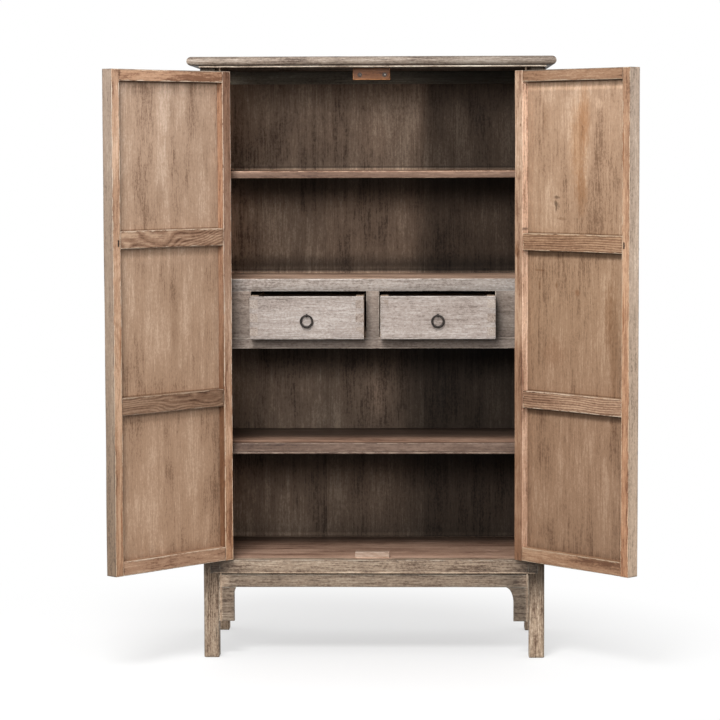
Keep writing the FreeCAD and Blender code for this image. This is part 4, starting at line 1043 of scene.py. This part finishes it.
def coverTone(points, facing):
    # Painted shade in the groove under the rounded edge and on the underside, painted light on the lip
    # between them;
    # the rounded edge a little darker at its top, and all darker towards the right.
    x, y, z = points.T
    away = {"front": y - y0, "rear": y1 - y, "left": x - x0, "right": x1 - x}
    shade = [0.84, 0.89, 0.98] * fade(x, (-0.1, 1.0), (0.25, 0.78))
    nose = fade(z, (coverBelow, 0.35), (coverBelow + 0.003, 0.75), (coverBelow + 0.008, 1.0),
                (coverTop - 0.006, 1.0), (coverTop - 0.001, 0.6))
    inset = np.min(list(away.values()), axis=0)
    shade = np.where(inset[:, None] < cover["round"], shade * nose, shade)
    onLip = [gap < topSides[key][0] + 0.0005 for key, gap in away.items()]
    lip = (z < coverBelow - 0.0013) & np.any(onLip, axis=0)
    shade = np.where(lip[:, None], [1.45, 1.62, 1.8], shade)
    return np.where(((z < coverBelow + 0.001) & ~lip)[:, None], 0.22, shade)


memberParts = {
    "front": [makeTopMember((x1, y0), (x0, y0), (0, 1), "front", "right", "left")],
    "rear": [makeTopMember((x0, y1), (x1, y1), (0, -1), "rear", "left", "right")],
    "ends": [makeTopMember((x0, y0), (x0, y1), (1, 0), "left", "front", "rear"),
             makeTopMember((x1, y1), (x1, y0), (-1, 0), "right", "rear", "front")],
}
for key, parts in memberParts.items():
    piece("top_" + key, parts, greyWood, "top_frame_" + key, tone=coverTone)
# The top panel: painted shade on all but its top face
piece("top_panel", [board(*boxOf("top_panel"), alongX, 0.001, 0.001)], greyOutDarkIn,
      finish=facingOut((0, 0, 1)), tone=lambda p, f: np.where(f[:, 2:] > 0.5, [0.84, 0.89, 0.98], 0.6))
print("top made")

# Stops for the closed doors: the upper one with a painted shadow under the top, both lighter along their
# bottom edge
for name, material, slot, shade in (
        ("door_stop_upper", shelfWood, "shelf_wood", (0.98, 0.63, 0.345)),
        ("door_stop_lower", stopWood, "pale_wood", (0.82, 0.82, 0.86))):
    low, high = boxOf(name)
    low[1] += 0.0005
    piece(name, [board(low, high, alongX, 0.0015, 0.0015, 8, columns=8)], material,
          tone=lambda p, f: np.array([shade])
          * fade(underTop - p[:, 2], (0.0, 0.2), (0.012, 0.75), (0.02, 1.0))
          * fade(p[:, 2] - low[2], (0.0, 1.35), (0.0015, 1.3), (0.003, 1.0)))

# Iron pulls and the steel discs of the catches
catch = {"dot": (0.0012, 0.0026), "shift": 0.0016, "worn": (0.16, 0.75), "bright": rgb(236, 226, 214)}
ring = {"thin": 0.0023, "swell": 0.45, "turns": 48, "sides": 14,
        "drawer": (0.0172, 0.0036), "door": (0.0107, 0.0023)}  # radius, thickest wire


def metalMaterial(name, dark, light, rough, metallic):
    material, tree, shader = newMaterial(name)
    patches = stretchedNoise(tree, node(tree, "TexCoord").outputs["Object"], (350.0, 350.0, 350.0), 4.0, 0.6)
    tree.links.new(blendColour(tree, spread(tree, patches, 0.35, 0.7), dark, light),
                   shader.inputs["Base Color"])
    tree.links.new(spread(tree, patches, 0.3, 0.7, *rough), shader.inputs["Roughness"])
    shader.inputs["Metallic"].default_value = metallic
    bumped = node(tree, "Bump", {"Height": patches, "Distance": 0.0004, "Strength": 0.5})
    tree.links.new(bumped.outputs[0], shader.inputs["Normal"])
    return material


def makeCatchSteel():
    # Dark steel with a painted highlight, a bright dot right of each disc's middle, by the distance from it.
    material = metalMaterial("catchSteel", rgb(46, 36, 30), rgb(84, 68, 58), (0.6, 0.42), 0.3)
    tree = material.node_tree
    base = tree.nodes["Principled BSDF"].inputs["Base Color"]
    low, high = boxOf("catch_discs")
    half, bright = (high[2] - low[2]) / 2, 0.0
    place = node(tree, "TexCoord").outputs["Object"]
    for x, most in zip((low[0] + half, high[0] - half), catch["worn"]):
        far = distanceTo(tree, place, (x + catch["shift"], low[1], low[2] + half), (1, 0, 1))
        bright = calc(tree, "MAXIMUM", bright, spread(tree, far, *catch["dot"], most, 0.0))
    tree.links.new(blendColour(tree, bright, base.links[0].from_socket, catch["bright"]), base)
    return material


def makeRing(name, body):
    # A torus whose wire swells from thin in the eye to thick at the bottom: at the angle t from the top,
    # the ring's centre line is radius (sin t, cos t), and around it the wire is a circle.
    low, high = boxOf(name)
    size, middle, thin = high - low, (low + high) / 2, ring["thin"]
    radius, thick = ring[name.split("_")[0]]
    side = np.array([size[0] - 2 * thin, max(size[1] - 2 * thin, 0.0), 0.0])
    side /= np.linalg.norm(side)
    side[1] *= -1 if middle[0] > 0 else 1
    out = np.cross(side, (0, 0, 1))
    turn = np.linspace(0, 2 * math.pi, ring["turns"], endpoint=False)[:, None, None]
    around = np.linspace(0, 2 * math.pi, ring["sides"], endpoint=False)[None, :, None]
    wire = thin + (thick - thin) * (0.5 - 0.5 * np.cos(turn)) ** ring["swell"]
    centre = np.array([middle[0], middle[1], high[2] - thin - radius])
    outward = np.sin(turn) * side + np.cos(turn) * [0, 0, 1.0]
    points = centre + (radius + wire * np.cos(around)) * outward + wire * np.sin(around) * out
    quads = gridQuads(ring["turns"], ring["sides"], wrapped=True)
    mesh = bpy.data.meshes.new(name + "_iron")
    mesh.from_pydata(points.reshape(-1, 3), [], quads)
    mesh.polygons.foreach_set("use_smooth", np.ones(len(quads), bool))
    mesh.materials.append(iron)
    thing = addObject(name + "_iron", mesh)
    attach(thing, body)
    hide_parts(name)


iron = metalMaterial("blackIron", rgb(26, 23, 22), rgb(58, 50, 44), (0.66, 0.46), 0.55)
for name in list(nodes):
    if name.endswith("_ring"):
        makeRing(name, "ring_" + name[:-5])
    if name.endswith(("_ring", "_eye")):
        refinish(name, iron)
    if name.endswith("_pins"):
        refinish(name, hiddenWood)
refinish("catch_discs", makeCatchSteel())
print("metal made")

# Floor, daylight and lamps
stage = {"size": 30.0, "floor": 0.28, "seenFloor": 0.85, "white": (0.555, 1.0), "fade": (0.8, 1.6),
         "centre": -0.3, "horizon": 0.2, "zenith": 1.05}
lamps = {
    "key": {"place": (-0.9, -3.8, 4.4), "target": (0, 0, 0.9), "size": (1.6, 1.2), "power": 185.0},
    "low": {"place": (-1.4, -8.0, 3.0), "target": (0, 0, 1.0), "size": (2.6, 1.6), "power": 215.0},
}


def seenRays(tree):
    # 1 for the rays that show the background: the camera's own and those through gloss or glass.
    path = node(tree, "LightPath").outputs
    glossy = calc(tree, "MAXIMUM", path["Is Glossy Ray"], path["Is Transmission Ray"])
    return calc(tree, "MAXIMUM", path["Is Camera Ray"], glossy)


def makeFloor():
    mesh = bpy.data.meshes.new("floor")
    half = stage["size"] / 2
    mesh.from_pydata([(-half, -half, 0), (half, -half, 0), (half, half, 0), (-half, half, 0)], [],
                     [(0, 1, 2, 3)])
    floor = addObject("floor", mesh)
    material, tree, shader = newMaterial("floor")
    seen = seenRays(tree)
    pale = blendColour(tree, seen, (stage["floor"],) * 3 + (1,), (stage["seenFloor"],) * 3 + (1,))
    tree.links.new(pale, shader.inputs["Base Color"])
    shader.inputs["Roughness"].default_value = 0.9
    shader.inputs["Specular IOR Level"].default_value = 0.0
    far = distanceTo(tree, node(tree, "TexCoord").outputs["Object"], (stage["centre"], 0, 0))
    share = calc(tree, "MULTIPLY", seen, spread(tree, far, *stage["fade"], *stage["white"]))
    white = node(tree, "Emission", {0: (1, 1, 1, 1), 1: 1.0})
    joined = node(tree, "MixShader", {0: share, 1: shader.outputs[0], 2: white.outputs[0]})
    tree.links.new(joined.outputs[0], tree.nodes["Material Output"].inputs[0])
    mesh.materials.append(material)


def makeWorld():
    # Brighter overhead than at the horizon; the background itself is seen as white.
    world = bpy.data.worlds.new("daylight")
    bpy.context.scene.world = world
    world.use_nodes = True
    tree = world.node_tree
    rise = node(tree, "SeparateXYZ", {0: node(tree, "TexCoord").outputs["Generated"]}).outputs[2]
    glow = spread(tree, rise, -0.1, 0.9, stage["horizon"], stage["zenith"])
    light, shown = (node(tree, "Background", {0: (1, 1, 1, 1), 1: strength}) for strength in (glow, 1.0))
    joined = node(tree, "MixShader", {0: seenRays(tree), 1: light.outputs[0], 2: shown.outputs[0]})
    tree.links.new(joined.outputs[0], tree.nodes["World Output"].inputs[0])


def makeLamp(name, place, target, size, power):
    data = bpy.data.lights.new(name, "AREA")
    data.shape = "RECTANGLE"
    data.size, data.size_y = size
    data.energy = power
    ahead = np.array(target, float) - np.array(place, float)
    ahead /= np.linalg.norm(ahead)
    setAxes(addObject(name, data), *axesOf(ahead), ahead, place)


makeFloor()
makeWorld()
for name, lamp in lamps.items():
    makeLamp(name, **lamp)
bpy.context.scene.view_settings.view_transform = "Standard"
print("stage made")
